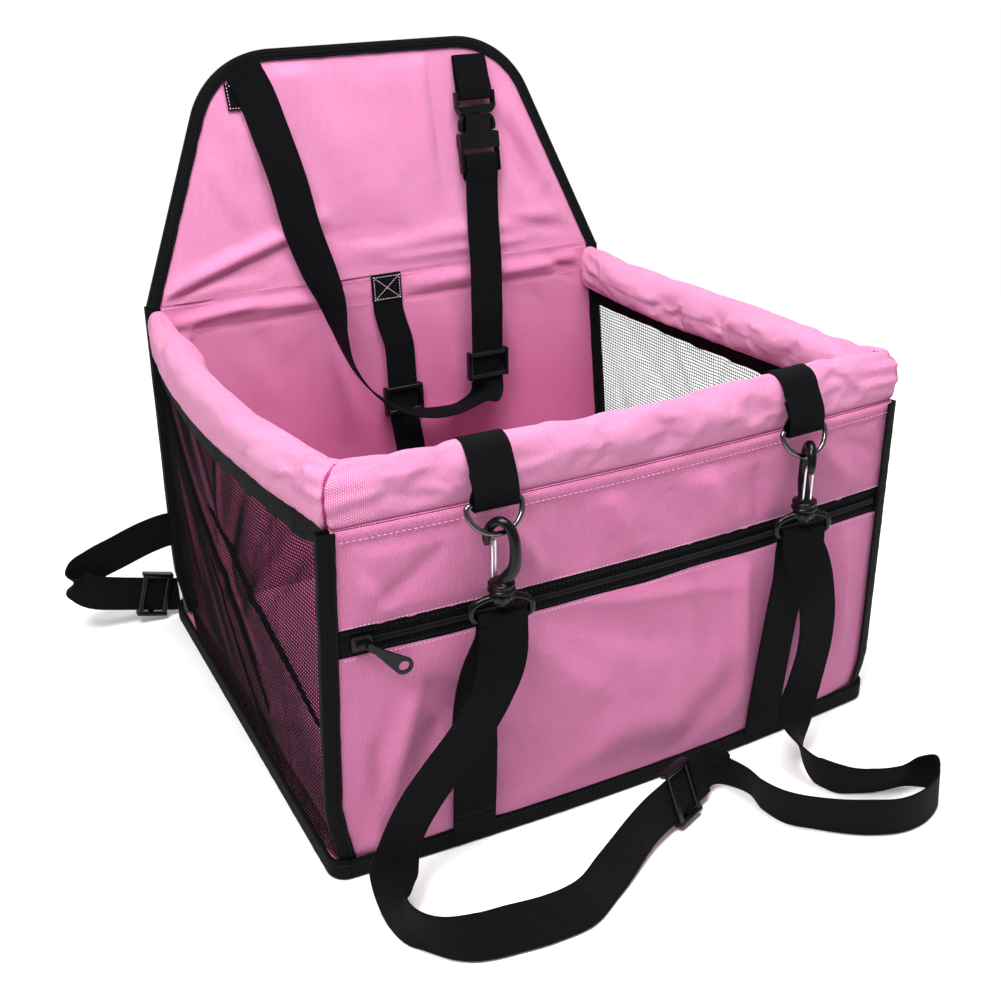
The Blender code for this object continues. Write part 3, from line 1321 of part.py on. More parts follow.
RISE_RIGHT = [
    ((0.1020, -0.0500, 0.0210), (-0.500, -0.300, 0.80)),
    ((0.1070, -0.0370, 0.0360), (-0.850, 0.150, 0.45)),
    ((0.1150, -0.0335, 0.0580), (-0.970, 0.050, 0.15)),
    ((0.1200, -0.0335, 0.0850), (-0.990, 0.000, 0.05)),
    ((0.1185, -0.0335, 0.1150), (-0.990, 0.000, -0.02)),
    ((0.1110, -0.0300, 0.1440), (-0.960, 0.250, 0.00)),
]


def on_floor(place, across):
    """Centre of webbing whose lower edge rests on the floor."""
    lean = Vector(across).normalized()
    return FRONT_FOOT + Vector((place[0], place[1], WEBBING / 2 * lean.z + 0.0008))


def frame_on(centre, along, across):
    """Local X across the webbing, Y through it and Z along it."""
    z = along.normalized()
    x = (across - z * across.dot(z)).normalized()
    y = z.cross(x)
    rows = [(x[i], y[i], z[i], centre[i]) for i in range(3)]
    return Matrix(rows + [(0.0, 0.0, 0.0, 1.0)])


def make_long_strap():
    left_end = hook_bar_turn(-1)[-1] + Vector((0, 0, -0.0025 - GAP))
    right_end = hook_bar_turn(1)[-1] + Vector((0, 0, -0.0025 - GAP))
    run = straight(LONG_STRAP_ADJUSTER, LONG_STRAP_LAY.normalized(), 0.028)
    points = [left_end, left_end + Vector((0, -0.0002, -0.004))] + [FRONT_FOOT + Vector(p) for p, _ in FALL_LEFT]
    points += [on_floor(p, w) for p, w in FLOOR_LEFT] + run
    points += [on_floor(p, w) for p, w in FLOOR_RIGHT] + [FRONT_FOOT + Vector(p) for p, _ in RISE_RIGHT]
    points += [right_end + Vector((0, -0.0002, -0.004)), right_end]
    widths = [BASE_ACROSS] * 2 + [Vector(w) for _, w in FALL_LEFT + FLOOR_LEFT]
    widths += [LONG_STRAP_LEAN] * len(run) + [Vector(w) for _, w in FLOOR_RIGHT + RISE_RIGHT]
    widths += [-BASE_ACROSS] * 2
    ribbon("long_strap", points, widths, 138)
    adjuster("long_strap_adjuster", WEBBING, frame_on(LONG_STRAP_ADJUSTER, LONG_STRAP_LAY, -LONG_STRAP_LEAN))


BACK_CORNER = Vector((-BASE_WIDTH / 2, BASE_DEPTH / 2, 0))
REAR_STRAP_ADJUSTER = BACK_CORNER + Vector((-0.0175, 0.0065, 0.0232))
REAR_STRAP_STRAIGHT = BACK_CORNER + Vector((-0.0225, 0.00645, 0.02463))
REAR_STRAP_LAY = Vector((0.9615, 0.0100, -0.2747))
REAR_UPPER = [(0.0000, 0.0087, 0.0750), (-0.0150, 0.0103, 0.0720), (-0.0400, 0.0130, 0.0630), (-0.0600, 0.0138, 0.0560),
              (-0.0720, 0.0122, 0.0508), (-0.0755, 0.0095, 0.0475), (-0.0715, 0.0068, 0.0435)]


def make_rear_strap():
    """Strap for the seat's back: sewn in at the left edge, folded, and back to the base."""
    z = 0.0750
    start = Vector((-(half_width(z) - PANEL_SIDE_INSET + TAPE_THICK + 3 * GAP), BASE_DEPTH / 2 + 0.0085, z))
    run = straight(REAR_STRAP_STRAIGHT, REAR_STRAP_LAY.normalized(), 0.0208)
    points = [start] + [BACK_CORNER + Vector(p) for p in REAR_UPPER] + run
    ribbon("rear_strap", points, [Vector((0, 0, 1))] * len(points), 40)
    place = frame_on(REAR_STRAP_ADJUSTER, REAR_STRAP_LAY, Vector((0, 0, -1)))
    adjuster("rear_strap_adjuster", WEBBING, place)


def main():
    clear_scene()
    make_base()
    make_front_wall()
    make_zip()
    make_back_wall()
    make_side_nets()
    make_corner_tapes()
    make_rim()
    make_flap()
    make_headrest_strap(make_buckle())
    make_leash()
    make_front_fittings()
    make_anchor_straps()
    make_long_strap()
    make_rear_strap()


main()
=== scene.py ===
import json
from math import atan2, cos, exp, pi, radians, sin, sqrt

import bmesh
import bpy
from mathutils import Matrix, Vector, noise

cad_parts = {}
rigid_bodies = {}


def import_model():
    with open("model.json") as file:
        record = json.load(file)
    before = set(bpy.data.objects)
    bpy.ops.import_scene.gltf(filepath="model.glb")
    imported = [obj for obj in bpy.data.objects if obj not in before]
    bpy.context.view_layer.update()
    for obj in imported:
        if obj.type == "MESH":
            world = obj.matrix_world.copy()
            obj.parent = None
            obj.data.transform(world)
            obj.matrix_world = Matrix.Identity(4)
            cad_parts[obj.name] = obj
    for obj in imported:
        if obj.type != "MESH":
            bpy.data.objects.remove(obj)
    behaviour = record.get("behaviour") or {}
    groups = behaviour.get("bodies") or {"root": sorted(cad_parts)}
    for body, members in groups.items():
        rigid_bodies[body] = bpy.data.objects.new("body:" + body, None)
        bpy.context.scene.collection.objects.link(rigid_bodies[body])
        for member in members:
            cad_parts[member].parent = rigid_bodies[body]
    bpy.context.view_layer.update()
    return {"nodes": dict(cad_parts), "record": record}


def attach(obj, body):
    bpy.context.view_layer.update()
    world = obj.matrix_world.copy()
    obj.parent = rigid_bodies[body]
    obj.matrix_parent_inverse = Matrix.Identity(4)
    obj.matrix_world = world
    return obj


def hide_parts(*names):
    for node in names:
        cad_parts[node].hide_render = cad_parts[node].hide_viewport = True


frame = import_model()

toRight, toBack, upward = Vector((1, 0, 0)), Vector((0, 1, 0)), Vector((0, 0, 1))
sides = ((-1, "left"), (1, "right"))
print("frame loaded")


# small helpers

def lerp(a, b, t):
    return a + (b - a) * t


def steps(count):
    return [i / count for i in range(count + 1)]


def hump(t):
    return 4.0 * t * (1.0 - t)


def within(value, low, high):
    return min(max((value - low) / (high - low), 0.0), 1.0)


def ease(t):
    return t * t * (3.0 - 2.0 * t)


def speck(x, y, z):
    return noise.noise(Vector((x, y, z)))


def ripple(place, size, seed):
    return noise.noise(Vector(place) / size + Vector((seed * 7.3, seed * 3.1, seed)))


def metres(rows, count):
    # the first numbers of every row are written in millimetres
    return [tuple(v / 1000 for v in row[:count]) + tuple(row[count:]) for row in rows]


def blockRound(angle, power):
    # a point on a square with round corners, both numbers within -1 and 1
    c, s = cos(angle), sin(angle)
    k = (abs(c) ** power + abs(s) ** power) ** (-1 / power)
    return c * k, s * k


def show(name, mesh):
    obj = bpy.data.objects.new(name, mesh)
    bpy.context.collection.objects.link(obj)
    return obj


def addPiece(name, verts, faces, uvs, finish, angle=None):
    mesh = bpy.data.meshes.new(name)
    mesh.from_pydata([tuple(v) for v in verts], [], faces)
    layer = mesh.uv_layers.new(name="cut")
    for loop in mesh.loops:
        layer.data[loop.index].uv = uvs[loop.vertex_index]
    bm = bmesh.new()
    bm.from_mesh(mesh)
    bmesh.ops.recalc_face_normals(bm, faces=bm.faces)
    bm.to_mesh(mesh)
    bm.free()
    mesh.shade_smooth()
    if angle:
        mesh.set_sharp_from_angle(angle=radians(angle))
    mesh.materials.append(finish)
    return show(name, mesh)


def settle(obj, body, slotName, *nodes):
    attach(obj, body)
    if nodes:
        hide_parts(*nodes)
    return obj


def tubeFaces(size, count, closed=False, ends=True):
    # quads between rings of points, and a flat face on each open end
    faces = []
    for i in range(count if closed else count - 1):
        k = (i + 1) % count
        faces += [(i * size + j, i * size + (j + 1) % size, k * size + (j + 1) % size, k * size + j)
                  for j in range(size)]
    if ends and not closed:
        faces += [tuple(range(size)), tuple((count - 1) * size + j for j in reversed(range(size)))]
    return faces


def smoothRoute(points, count):
    knots = [Vector(p) for p in points]
    spans = len(knots) - 1
    reach = [max((b - a).length, 1e-6) for a, b in zip(knots, knots[1:])]
    slope = [(b - a) / d for a, b, d in zip(knots, knots[1:], reach)]
    lean = [slope[0]]
    for i in range(1, spans):
        lean.append((slope[i] * reach[i - 1] + slope[i - 1] * reach[i]) / (reach[i - 1] + reach[i]))
    lean.append(slope[-1])
    route = []
    for i in range(count + 1):
        x = i / count * spans
        k = min(int(x), spans - 1)
        t = x - k
        a = (2 * t - 3) * t * t
        route.append(knots[k] * (1 + a) - knots[k + 1] * a
                     + (lean[k] * (t - 1) + lean[k + 1] * t) * (reach[k] * t * (t - 1)))
    return route


# finishes

class Nodes:  # short hand for building a material tree
    def __init__(self, name):
        self.material = bpy.data.materials.new(name)
        self.material.use_nodes = True
        self.tree = self.material.node_tree
        self.shader = self.tree.nodes["Principled BSDF"]

    def put(self, socket, value):
        if isinstance(value, bpy.types.NodeSocket):
            self.tree.links.new(value, socket)
        else:
            socket.default_value = value

    def add(self, kind, inputs=None, **values):
        node = self.tree.nodes.new(kind)
        for key, value in values.items():
            setattr(node, key, value)
        for key, value in (inputs or {}).items():
            self.put(node.inputs[key], value)
        return node

    def shade(self, inputs):
        for key, value in inputs.items():
            self.put(self.shader.inputs[key], value)

    def math(self, operation, a, b=0.0):
        return self.add("ShaderNodeMath", {0: a, 1: b}, operation=operation).outputs[0]

    def times(self, a, b):
        return self.math("MULTIPLY", a, b)

    def plus(self, *parts):
        total = parts[0]
        for part in parts[1:]:
            total = self.math("ADD", total, part)
        return total

    def size(self, value):
        return self.math("ABSOLUTE", value)

    def wave(self, value, pitch):
        return self.math("SINE", self.times(value, pi / pitch))

    def mix(self, factor, a, b):
        return self.add("ShaderNodeMix", {"Factor": factor, 6: a, 7: b}, data_type="RGBA").outputs[2]

    def noise(self, vector, scale, detail=2.0, rough=0.5):
        inputs = {"Vector": vector, "Scale": scale, "Detail": detail, "Roughness": rough}
        return self.add("ShaderNodeTexNoise", inputs).outputs["Fac"]

    def ramp(self, value, low, high):
        inputs = {"Value": value, "From Min": low, "From Max": high}
        return self.add("ShaderNodeMapRange", inputs).outputs["Result"]

    def bump(self, height, distance, strength, normal=None):
        inputs = {"Strength": strength, "Distance": distance, "Height": height}
        if normal:
            inputs["Normal"] = normal
        return self.add("ShaderNodeBump", inputs).outputs["Normal"]

    def uv(self):
        return self.add("ShaderNodeTexCoord").outputs["UV"]

    def place(self):
        return self.add("ShaderNodeTexCoord").outputs["Object"]

    def split(self, vector):
        return self.add("ShaderNodeSeparateXYZ", {0: vector}).outputs


def rgb(r, g, b):  # picture values 0-255 to linear
    def line(v):
        v /= 255.0
        return v / 12.92 if v <= 0.04045 else ((v + 0.055) / 1.055) ** 2.4
    return (line(r), line(g), line(b), 1.0)


oxford = {"thread": 0.00070, "gapShade": 0.9, "floatSheen": 0.60, "slub": 0.30, "blotch": 0.22, "rough": 0.68,
          "sheen": 0.12, "shine": 0.24, "crumple": 0.0024, "relief": 0.00046}


def clothFinish(name, color, shade, settings):
    # plain weave: warp over weft in turn, each thread a half round
    n = Nodes(name)
    u, v, _ = n.split(n.uv())
    place = n.place()
    a, b = n.wave(u, settings["thread"]), n.wave(v, settings["thread"])
    over = n.times(a, b)
    knot, onTop, floatSheen = n.size(over), n.ramp(over, -0.15, 0.15), n.ramp(over, -0.12, 0.12)
    lift = n.plus(n.times(n.size(a), onTop), n.times(n.size(b), n.math("SUBTRACT", 1.0, onTop)))
    height = n.plus(n.times(lift, 0.7), n.times(knot, 0.5))
    if "inside" in settings:
        # painted shade: deeper in the box the cloth's colours turn darker, from one height to another
        low, high, deepColor, deepShade = settings["inside"]
        up = n.ramp(n.split(place)[2], low, high)
        color, shade = n.mix(up, deepColor, color), n.mix(up, deepShade, shade)
    # the weave's own pattern in colour, with painted light in it: thread crowns lighter and the gaps between threads in
    # painted shade, warp floats lighter as a painted sheen; slub and blotch are the yarn's own uneven colour
    tone = n.plus(n.times(knot, settings["gapShade"]), n.times(floatSheen, settings["floatSheen"]),
                  n.times(n.noise(n.uv(), 900.0), settings["slub"]),
                  n.times(n.noise(place, 16.0, 3.0), settings["blotch"]))
    top = settings["gapShade"] + settings["floatSheen"] + settings["slub"] * 0.6 + settings["blotch"] * 0.6
    fold = n.bump(n.noise(place, 55.0, 3.0, 0.55), settings["crumple"], 0.5)
    n.shade({"Base Color": n.mix(n.ramp(tone, top * 0.32, top * 0.86), shade, color),
             "Roughness": n.math("SUBTRACT", settings["rough"], n.times(floatSheen, 0.12)),
             "Sheen Weight": settings["sheen"], "Sheen Roughness": 0.35, "Sheen Tint": (1.0, 0.85, 0.94, 1.0),
             "Specular IOR Level": settings["shine"], "Normal": n.bump(height, settings["relief"], 0.9, fold)})
    return n.material


def ribFinish(name, light, settings):
    # u runs across the webbing and v along it
    n = Nodes(name)
    u, v, _ = n.split(n.uv())
    zig = n.math("PINGPONG", u, settings["chevron"])
    rib = n.size(n.wave(n.plus(v, n.times(zig, settings["slant"])), settings["rib"]))
    height = n.plus(rib, n.times(n.size(n.wave(u, settings["yarn"])), 0.6))
    fuzz = n.noise(n.uv(), 700.0)
    # rib crowns get the lighter colour, a painted highlight; fuzz is the yarn's own uneven tone
    tone = n.plus(n.times(height, 0.45), n.times(fuzz, 0.5))
    n.shade({"Base Color": n.mix(n.ramp(tone, 0.1, 1.1), rgb(4, 4, 5), light),
             "Roughness": n.ramp(fuzz, -1.6, 1.4), "Sheen Roughness": 0.5, "Specular IOR Level": 0.05,
             "Normal": n.bump(height, settings["relief"], 0.9)})
    return n.material


def plainFinish(name, color, light, rough, metallic, scale, wear, relief, shine=0.5):
    n = Nodes(name)
    place = n.place()
    cloud = n.noise(place, 60.0, 4.0, 0.6)
    edge = n.times(n.ramp(n.add("ShaderNodeNewGeometry").outputs["Pointiness"], 0.52, 0.60), wear)
    tone = n.plus(n.times(cloud, 0.5), edge)
    n.shade({"Base Color": n.mix(n.ramp(tone, 0.1, 1.1), rgb(*color), rgb(*light)),
             "Roughness": n.plus(rough - 0.06, n.times(cloud, 0.14)), "Metallic": metallic,
             "Specular IOR Level": shine, "Normal": n.bump(n.noise(place, scale, 3.0), relief, 0.5)})
    return n.material


# painted shade: the front, back and bottom walls get a darker, shaded copy of the one cloth
shadedCopyCloth = clothFinish("pink_oxford", rgb(255, 180, 222), rgb(198, 76, 138), oxford)
# painted light: the flap and the rim get a lighter, lit copy of the same cloth
litCopyCloth = clothFinish("pink_flap", rgb(255, 198, 233), rgb(220, 98, 160), {**oxford, "sheen": 0.15})
# the lining is a copy of the same cloth with painted shade deeper in the box
liningCloth = clothFinish("pink_lining", rgb(255, 186, 225), rgb(212, 96, 154), {
    **oxford, "inside": (0.130, 0.246, rgb(240, 138, 188), rgb(196, 82, 136))})
# the lighter colour of each ribbed finish is a painted highlight on the rib crowns
webbingFinish = ribFinish("black_webbing", rgb(17, 17, 20), {
    "chevron": 0.0035, "slant": 0.9, "rib": 0.0013, "yarn": 0.0007, "relief": 0.00045})
tapeFinish = ribFinish("black_tape", rgb(18, 18, 20), {
    "chevron": 1.0, "slant": 0.0, "rib": 0.0012, "yarn": 0.0030, "relief": 0.00042})
# colour, colour where worn, roughness, metallic, grain scale, wear, relief, shine
finishes = {name: plainFinish(name, *values) for name, values in {
    "black_plastic": ((4, 4, 5), (15, 15, 17), 0.22, 0.0, 900.0, 0.2, 0.00006, 0.22),
    "dark_chrome": ((96, 92, 92), (150, 146, 146), 0.16, 1.0, 500.0, 0.3, 0.00003),
    "bright_wire": ((200, 200, 202), (230, 230, 232), 0.16, 1.0, 600.0, 0.2, 0.00002),
    "zip_black": ((12, 12, 13), (34, 34, 37), 0.40, 0.0, 900.0, 0.4, 0.00005, 0.25),
    "grey_board": ((90, 86, 82), (120, 116, 110), 0.7, 0.0, 300.0, 0.2, 0.0001),
    "pale_rod": ((205, 205, 200), (225, 225, 220), 0.5, 0.0, 300.0, 0.1, 0.00005),
    "pink_thread": ((240, 150, 200), (255, 205, 232), 0.6, 0.0, 900.0, 0.3, 0.00005),
    # a dark pink seam thread, also laid close as a painted shadow along creases
    "seam_pink": ((104, 26, 62), (140, 48, 92), 0.7, 0.0, 900.0, 0.2, 0.00005, 0.1),
    "black_thread": ((16, 16, 18), (44, 44, 48), 0.5, 0.0, 900.0, 0.3, 0.00005, 0.2),
    "black_paint": ((5, 5, 6), (16, 16, 18), 0.30, 0.0, 500.0, 0.3, 0.00003, 0.20),
    "pale_thread": ((245, 214, 232), (255, 240, 248), 0.6, 0.0, 900.0, 0.2, 0.00005),
    "black_mesh": ((6, 6, 7), (20, 20, 22), 0.8, 0.0, 900.0, 0.2, 0.00004, 0.06)}.items()}
print("finishes made")


# the bed's own sizes, as the solids have them

bed = {"width": 0.400, "depth": 0.340, "hemWidth": 0.383, "hemHigh": 0.227, "frontLean": 0.004, "backLean": 0.017,
       "bow": 0.008, "rimThick": 0.025, "rimHigh": 0.034, "rimBackHigh": 0.0355, "rimBow": 0.010, "rimSag": 0.006,
       "backDrop": 0.016, "inset": 0.0026, "zipHigh": 0.1605, "foldHigh": 0.250, "flapTilt": 10.0,
       "wallFoot": 0.0018, "cloth": 0.0015}
bowRadius = ((bed["width"] / 2) ** 2 + bed["bow"] ** 2) / (2 * bed["bow"])
rimX = bed["hemWidth"] / 2 - bed["rimThick"] / 2 + 0.002


def halfWidth(z):
    return lerp(bed["width"], bed["hemWidth"], z / bed["hemHigh"]) / 2


def frontY(x, z):
    bow = sqrt(bowRadius ** 2 - x * x) - sqrt(bowRadius ** 2 - (bed["width"] / 2) ** 2)
    return -(bed["depth"] / 2 + bed["frontLean"] * z / bed["hemHigh"]) - bow


def backY(z):
    return bed["depth"] / 2 + bed["backLean"] * z / bed["hemHigh"]


def frontAt(x, z, off):
    return Vector((x, frontY(x, z) - off, z))


def backAt(x, z, off):
    return Vector((x, backY(z) - off, z))


rimFrontY = frontY(rimX, bed["hemHigh"]) + bed["rimThick"] / 2
rimFrontZ = bed["hemHigh"] + 0.0003 + bed["rimHigh"] / 2
netBack = 0.0021
rimBackY = backY(bed["hemHigh"]) - netBack
flapFrame = (Matrix.Translation((0, backY(bed["foldHigh"]), bed["foldHigh"]))
             @ Matrix.Rotation(radians(-bed["flapTilt"]), 4, "X"))


def flapWorld(x, depth, s):
    return flapFrame @ Vector((x, depth, s))


def sideRimHigh(t):
    return lerp(bed["rimHigh"], bed["rimBackHigh"], t)


def sideRim(side, t):
    x = rimX + bed["rimBow"] * hump(t)
    z = rimFrontZ + (sideRimHigh(t) - bed["rimHigh"]) / 2 - bed["backDrop"] * t - bed["rimSag"] * hump(t)
    return Vector((side * x, lerp(rimFrontY, rimBackY, t), z))


# camera

view = {"azimuth": -27.3779, "elevation": 25.8955, "roll": -0.6724, "focal": 1286.16, "frame": 1001,
        "sensor": 36.0, "place": (-0.3804, -0.7339, 0.5304)}


def makeCamera():
    az, el, roll = radians(view["azimuth"]), radians(view["elevation"]), radians(view["roll"])
    back = Vector((sin(az) * cos(el), -cos(az) * cos(el), sin(el)))
    right = (-back).cross(upward).normalized()
    top = right.cross(-back)
    c, s = cos(roll), sin(roll)
    turn = Matrix([right * c + top * s, top * c - right * s, back]).transposed().to_4x4()
    data = bpy.data.cameras.new("photo_camera")
    data.sensor_width = view["sensor"]
    data.lens = view["focal"] / view["frame"] * view["sensor"]
    data.clip_start = 0.05
    camera = show("photo_camera", data)
    camera.matrix_world = Matrix.Translation(view["place"]) @ turn
    bpy.context.scene.camera = camera


makeCamera()


# webbing

strap = {"wide": 0.028, "thick": 0.0014, "clearance": 0.0005, "hookSpread": 0.104, "hookShift": 0.0022,
         "edge": ((-1.0, 0.30), (-0.985, 0.80), (-0.94, 1.06), (-0.86, 0.96), (-0.45, 1.0), (0.0, 1.0),
                  (0.45, 1.0), (0.86, 0.96), (0.94, 1.06), (0.985, 0.80), (1.0, 0.30))}
fitting = {"barY": -0.1876, "barHigh": 0.2322, "ringHigh": 0.0175, "ringWire": 0.0017, "tilt": radians(28.0),
           "play": 0.0035, "hookLong": 0.0434, "hookThick": 0.0031, "baseHigh": 0.0165, "baseWire": 0.0023,
           "baseTurn": radians(-12.0)}
fitting["y"] = fitting["barY"] - fitting["ringHigh"] * sin(fitting["tilt"])
fitting["z"] = (fitting["barHigh"] - fitting["ringHigh"] * cos(fitting["tilt"]) + fitting["ringWire"]
                + fitting["play"] + fitting["hookThick"] - fitting["hookLong"])
baseAcross = Vector((cos(fitting["baseTurn"]), sin(fitting["baseTurn"]), 0))
baseFront = Vector((sin(fitting["baseTurn"]), -cos(fitting["baseTurn"]), 0))


def wrap(centre, front, halfDeep, halfHigh, start, end, count=8, power=4):
    # the webbing's middle line round a bar
    lay = strap["thick"] / 2 + strap["clearance"]
    points = []
    for t in steps(count):
        a, b = blockRound(radians(lerp(start, end, t)), power)
        points.append(centre + front * ((halfDeep + lay) * a) + upward * ((halfHigh + lay) * b))
    return points


def straight(centre, along, reach):
    return [centre + along * (reach * k) for k in (-1.0, -0.75, 0.0, 0.75, 1.0)]


def strapRows(rows):
    # middle line in millimetres, then the way across; a row without a height stands on the floor
    made = []
    for *place, a, b, c in rows:
        across = Vector((a, b, c))
        z = place[2] / 1000 if len(place) == 3 else strap["wide"] / 2 * across.normalized().z + 0.0008
        made.append((Vector((place[0] / 1000, place[1] / 1000, z)), across))
    return made


def ribbon(name, points, widths, count, body, *nodes, wide=strap["wide"], seed=1, floor=False):
    # edges a little thicker and rounded, and the run never quite straight
    outline = list(strap["edge"]) + [(x, -h) for x, h in reversed(strap["edge"])]
    centres, across = smoothRoute(points, count), smoothRoute(widths, count)
    run, verts, uvs = 0.0, [], []
    for i, c in enumerate(centres):
        if i:
            run += (c - centres[i - 1]).length
        along = (centres[min(i + 1, count)] - centres[max(i - 1, 0)]).normalized()
        w = (across[i] - along * across[i].dot(along)).normalized()
        normal = along.cross(w)
        half = wide / 2 * (1.0 + 0.006 * speck(run / 0.03, seed, 0))
        ring = [c + w * (half * x) + normal * (strap["thick"] / 2 * h) for x, h in outline]
        if floor:
            sink = max(0.0002 - min(p.z for p in ring), 0.0)
            ring = [p + upward * sink for p in ring]
        verts += ring
        uvs += [(half * x, run) for x, h in outline]
    obj = addPiece(name, verts, tubeFaces(len(outline), count + 1), uvs, webbingFinish, 50)
    obj["run"] = run
    return settle(obj, body, "black_webbing", *nodes), centres


def fittingX(side):
    return side * strap["hookSpread"] + strap["hookShift"]


def hookBarTurn(side):
    bar = Vector((fittingX(side), fitting["y"], fitting["z"] - fitting["baseHigh"]))
    return wrap(bar, baseFront, fitting["baseWire"], fitting["baseWire"], 180, 0)


longStrap = {
    "left": [(-102.6, -199, 146, 0.97, -0.25, -0.05), (-112.8, -203, 120, 0.85, 0, -0.5),
             (-127, -204, 101, 0.72, 0, -0.68), (-143.5, -204, 83, 0.72, 0, -0.68),
             (-159.5, -204, 64, 0.82, 0, -0.55), (-171.5, -204.5, 43, 0.96, 0.05, -0.25),
             (-180, -210, 23, 0.75, -0.3, 0.55), (-183, -224, 0.3, -0.45, 0.85),
             (-180, -241, 0.12, -0.25, 0.95), (-170, -254.5, 0, 0.05, 1), (-155, -262, 0, 0.3, 0.95),
             (-133, -266, -0.05, 0.4, 0.91), (-111, -269, -0.08, 0.38, 0.92), (-88, -267, -0.2, 0.45, 0.88),
             (-64, -254, -0.15, 0.52, 0.83)],
    "right": [(50, -209, -0.25, -0.1, 0.97), (57, -223, -0.3, -0.12, 0.96), (56.5, -240, -0.2, -0.15, 0.97),
              (61, -256, -0.15, -0.05, 0.98), (76, -271, -0.28, 0.05, 0.96), (98, -287, -0.25, 0.08, 0.97),
              (119, -296, -0.25, 0, 0.97), (142, -294.5, -0.25, -0.05, 0.97), (159, -285, -0.2, -0.1, 0.97),
              (165, -274, 0, -0.1, 0.99), (156, -268, 0.1, -0.25, 0.95), (140, -265.5, 0.14, -0.4, 0.9),
              (124, -260, 0.14, -0.43, 0.89), (110, -251, 0.05, -0.4, 0.9), (103, -237, -0.15, -0.4, 0.88),
              (102, -220, 21, -0.5, -0.3, 0.8), (107, -207, 36, -0.85, 0.15, 0.45),
              (115, -203.5, 58, -0.97, 0.05, 0.15), (120, -203.5, 85, -0.99, 0, 0.05),
              (118.5, -203.5, 115, -0.99, 0, -0.02), (111, -200, 144, -0.96, 0.25, 0)],
    "adjuster": (0.0100, -0.2190, 0.0190), "lay": (0.926, 0.377, 0.0), "lean": (-0.141, 0.346, 0.928)}


def makeLongStrap():
    low, down = Vector((0, 0, -0.0028)), Vector((0, -0.0002, -0.004))
    leftEnd, rightEnd = hookBarTurn(-1)[-1] + low, hookBarTurn(1)[-1] + low
    run = straight(Vector(longStrap["adjuster"]), Vector(longStrap["lay"]).normalized(), 0.028)
    rows = [(leftEnd, baseAcross), (leftEnd + down, baseAcross)] + strapRows(longStrap["left"])
    rows += [(p, Vector(longStrap["lean"])) for p in run] + strapRows(longStrap["right"])
    rows += [(rightEnd + down, -baseAcross), (rightEnd, -baseAcross)]
    obj, path = ribbon("long_seat_strap", [p for p, _ in rows], [w for _, w in rows], 414, "shell", "long_strap",
                       seed=3, floor=True)
    return obj, path[::3]


rearStrap = {"start": 0.0750, "straight": (-0.2225, 0.17645, 0.02463), "lay": (0.9615, 0.0100, -0.2747),
             "upper": metres([(-200, 178.7, 75), (-215, 180.3, 72), (-240, 183, 63), (-260, 183.8, 56),
                              (-272, 182.2, 50.8), (-275.5, 179.5, 47.5), (-271.5, 176.8, 43.5)], 3)}


def makeRearStrap():
    z = rearStrap["start"]
    start = Vector((-(halfWidth(z) - bed["inset"] + 0.0024), 0.1785, z))
    run = straight(Vector(rearStrap["straight"]), Vector(rearStrap["lay"]).normalized(), 0.0225)
    sewn = Vector((0.0040, 0, 0))  # each end runs on a little under its seam
    points = [start + sewn, start, *rearStrap["upper"], *run, run[-1] + sewn * 0.6]
    return ribbon("rear_seat_strap", points, [upward] * len(points), 120, "shell", "rear_strap", seed=5, floor=True)


seatStraps = {"long_strap_adjuster": makeLongStrap(), "rear_strap_adjuster": makeRearStrap()}
print("seat straps made")


# soft sheets

def softSheet(name, at, across, up, finish, body, slotName, node, uvAt=None):
    # at(u, v, face): face 0 is the seen side and face 1 the side behind it
    verts, uvs = [], []
    for face in (0, 1):
        for v in steps(up):
            for u in steps(across):
                p = at(u, v, face)
                verts.append(p)
                uvs.append(uvAt(u, v) if uvAt else (p[0], p[2]))
    row, layer = across + 1, (across + 1) * (up + 1)
    faces = []
    for k in (j * row + i for j in range(up) for i in range(across)):
        faces.append((k, k + 1, k + row + 1, k + row))
        faces.append((layer + k, layer + k + row, layer + k + row + 1, layer + k + 1))
    border = [*range(across), *(j * row + across for j in range(up))]
    border += [up * row + i for i in range(across, 0, -1)] + [j * row for j in range(up, 0, -1)]
    faces += [(a, layer + a, layer + b, b) for a, b in zip(border, border[1:] + border[:1])]
    return settle(addPiece(name, verts, faces, uvs, finish, 60), body, slotName, node)


def creases(x, z, lines):
    # each line: start, end, half width, height; the crease fades towards both ends
    total = 0.0
    for x0, z0, x1, z1, wide, high in lines:
        dx, dz = x1 - x0, z1 - z0
        t = within((x - x0) * dx + (z - z0) * dz, 0.0, dx * dx + dz * dz)
        gap = (x - x0 - dx * t) ** 2 + (z - z0 - dz * t) ** 2
        if gap < 9 * wide * wide:
            total += high * exp(-gap / (wide * wide)) * (0.35 + 0.65 * hump(t) ** 0.6)
    return total


def edgeFade(x, z, low, high, half, reach):
    return ease(within(min(half - abs(x), z - low, high - z), 0.0, reach))


def waves(x, z, size, tall, deep, seed):
    return deep * (ripple((x, z * tall, 0), size, seed) + 0.35 * ripple((x, z, 0.3), size * 0.32, seed + 2))


def pressed(x, z, spots):
    # 0 in the middle of a spot where a strap lies on the cloth, 1 away from all of them
    return min(1.0 - exp(-((x - cx) / rx) ** 4 - ((z - cz) / rz) ** 4) for cx, cz, rx, rz in spots)


def pullIn(p):
    # the foot of every corner is drawn in where the base tape turns
    a = within(abs(p.x), 0.165, 0.2) * within(abs(p.y), 0.140, 0.172) * within(p.z, 0.040, 0.004) ** 1.5
    return Vector((p.x - 0.0050 * a * (1 if p.x > 0 else -1), p.y - 0.0040 * a * (1 if p.y > 0 else -1), p.z))


def wallX(u, z):
    return lerp(-1, 1, u) * (halfWidth(z) - bed["inset"])


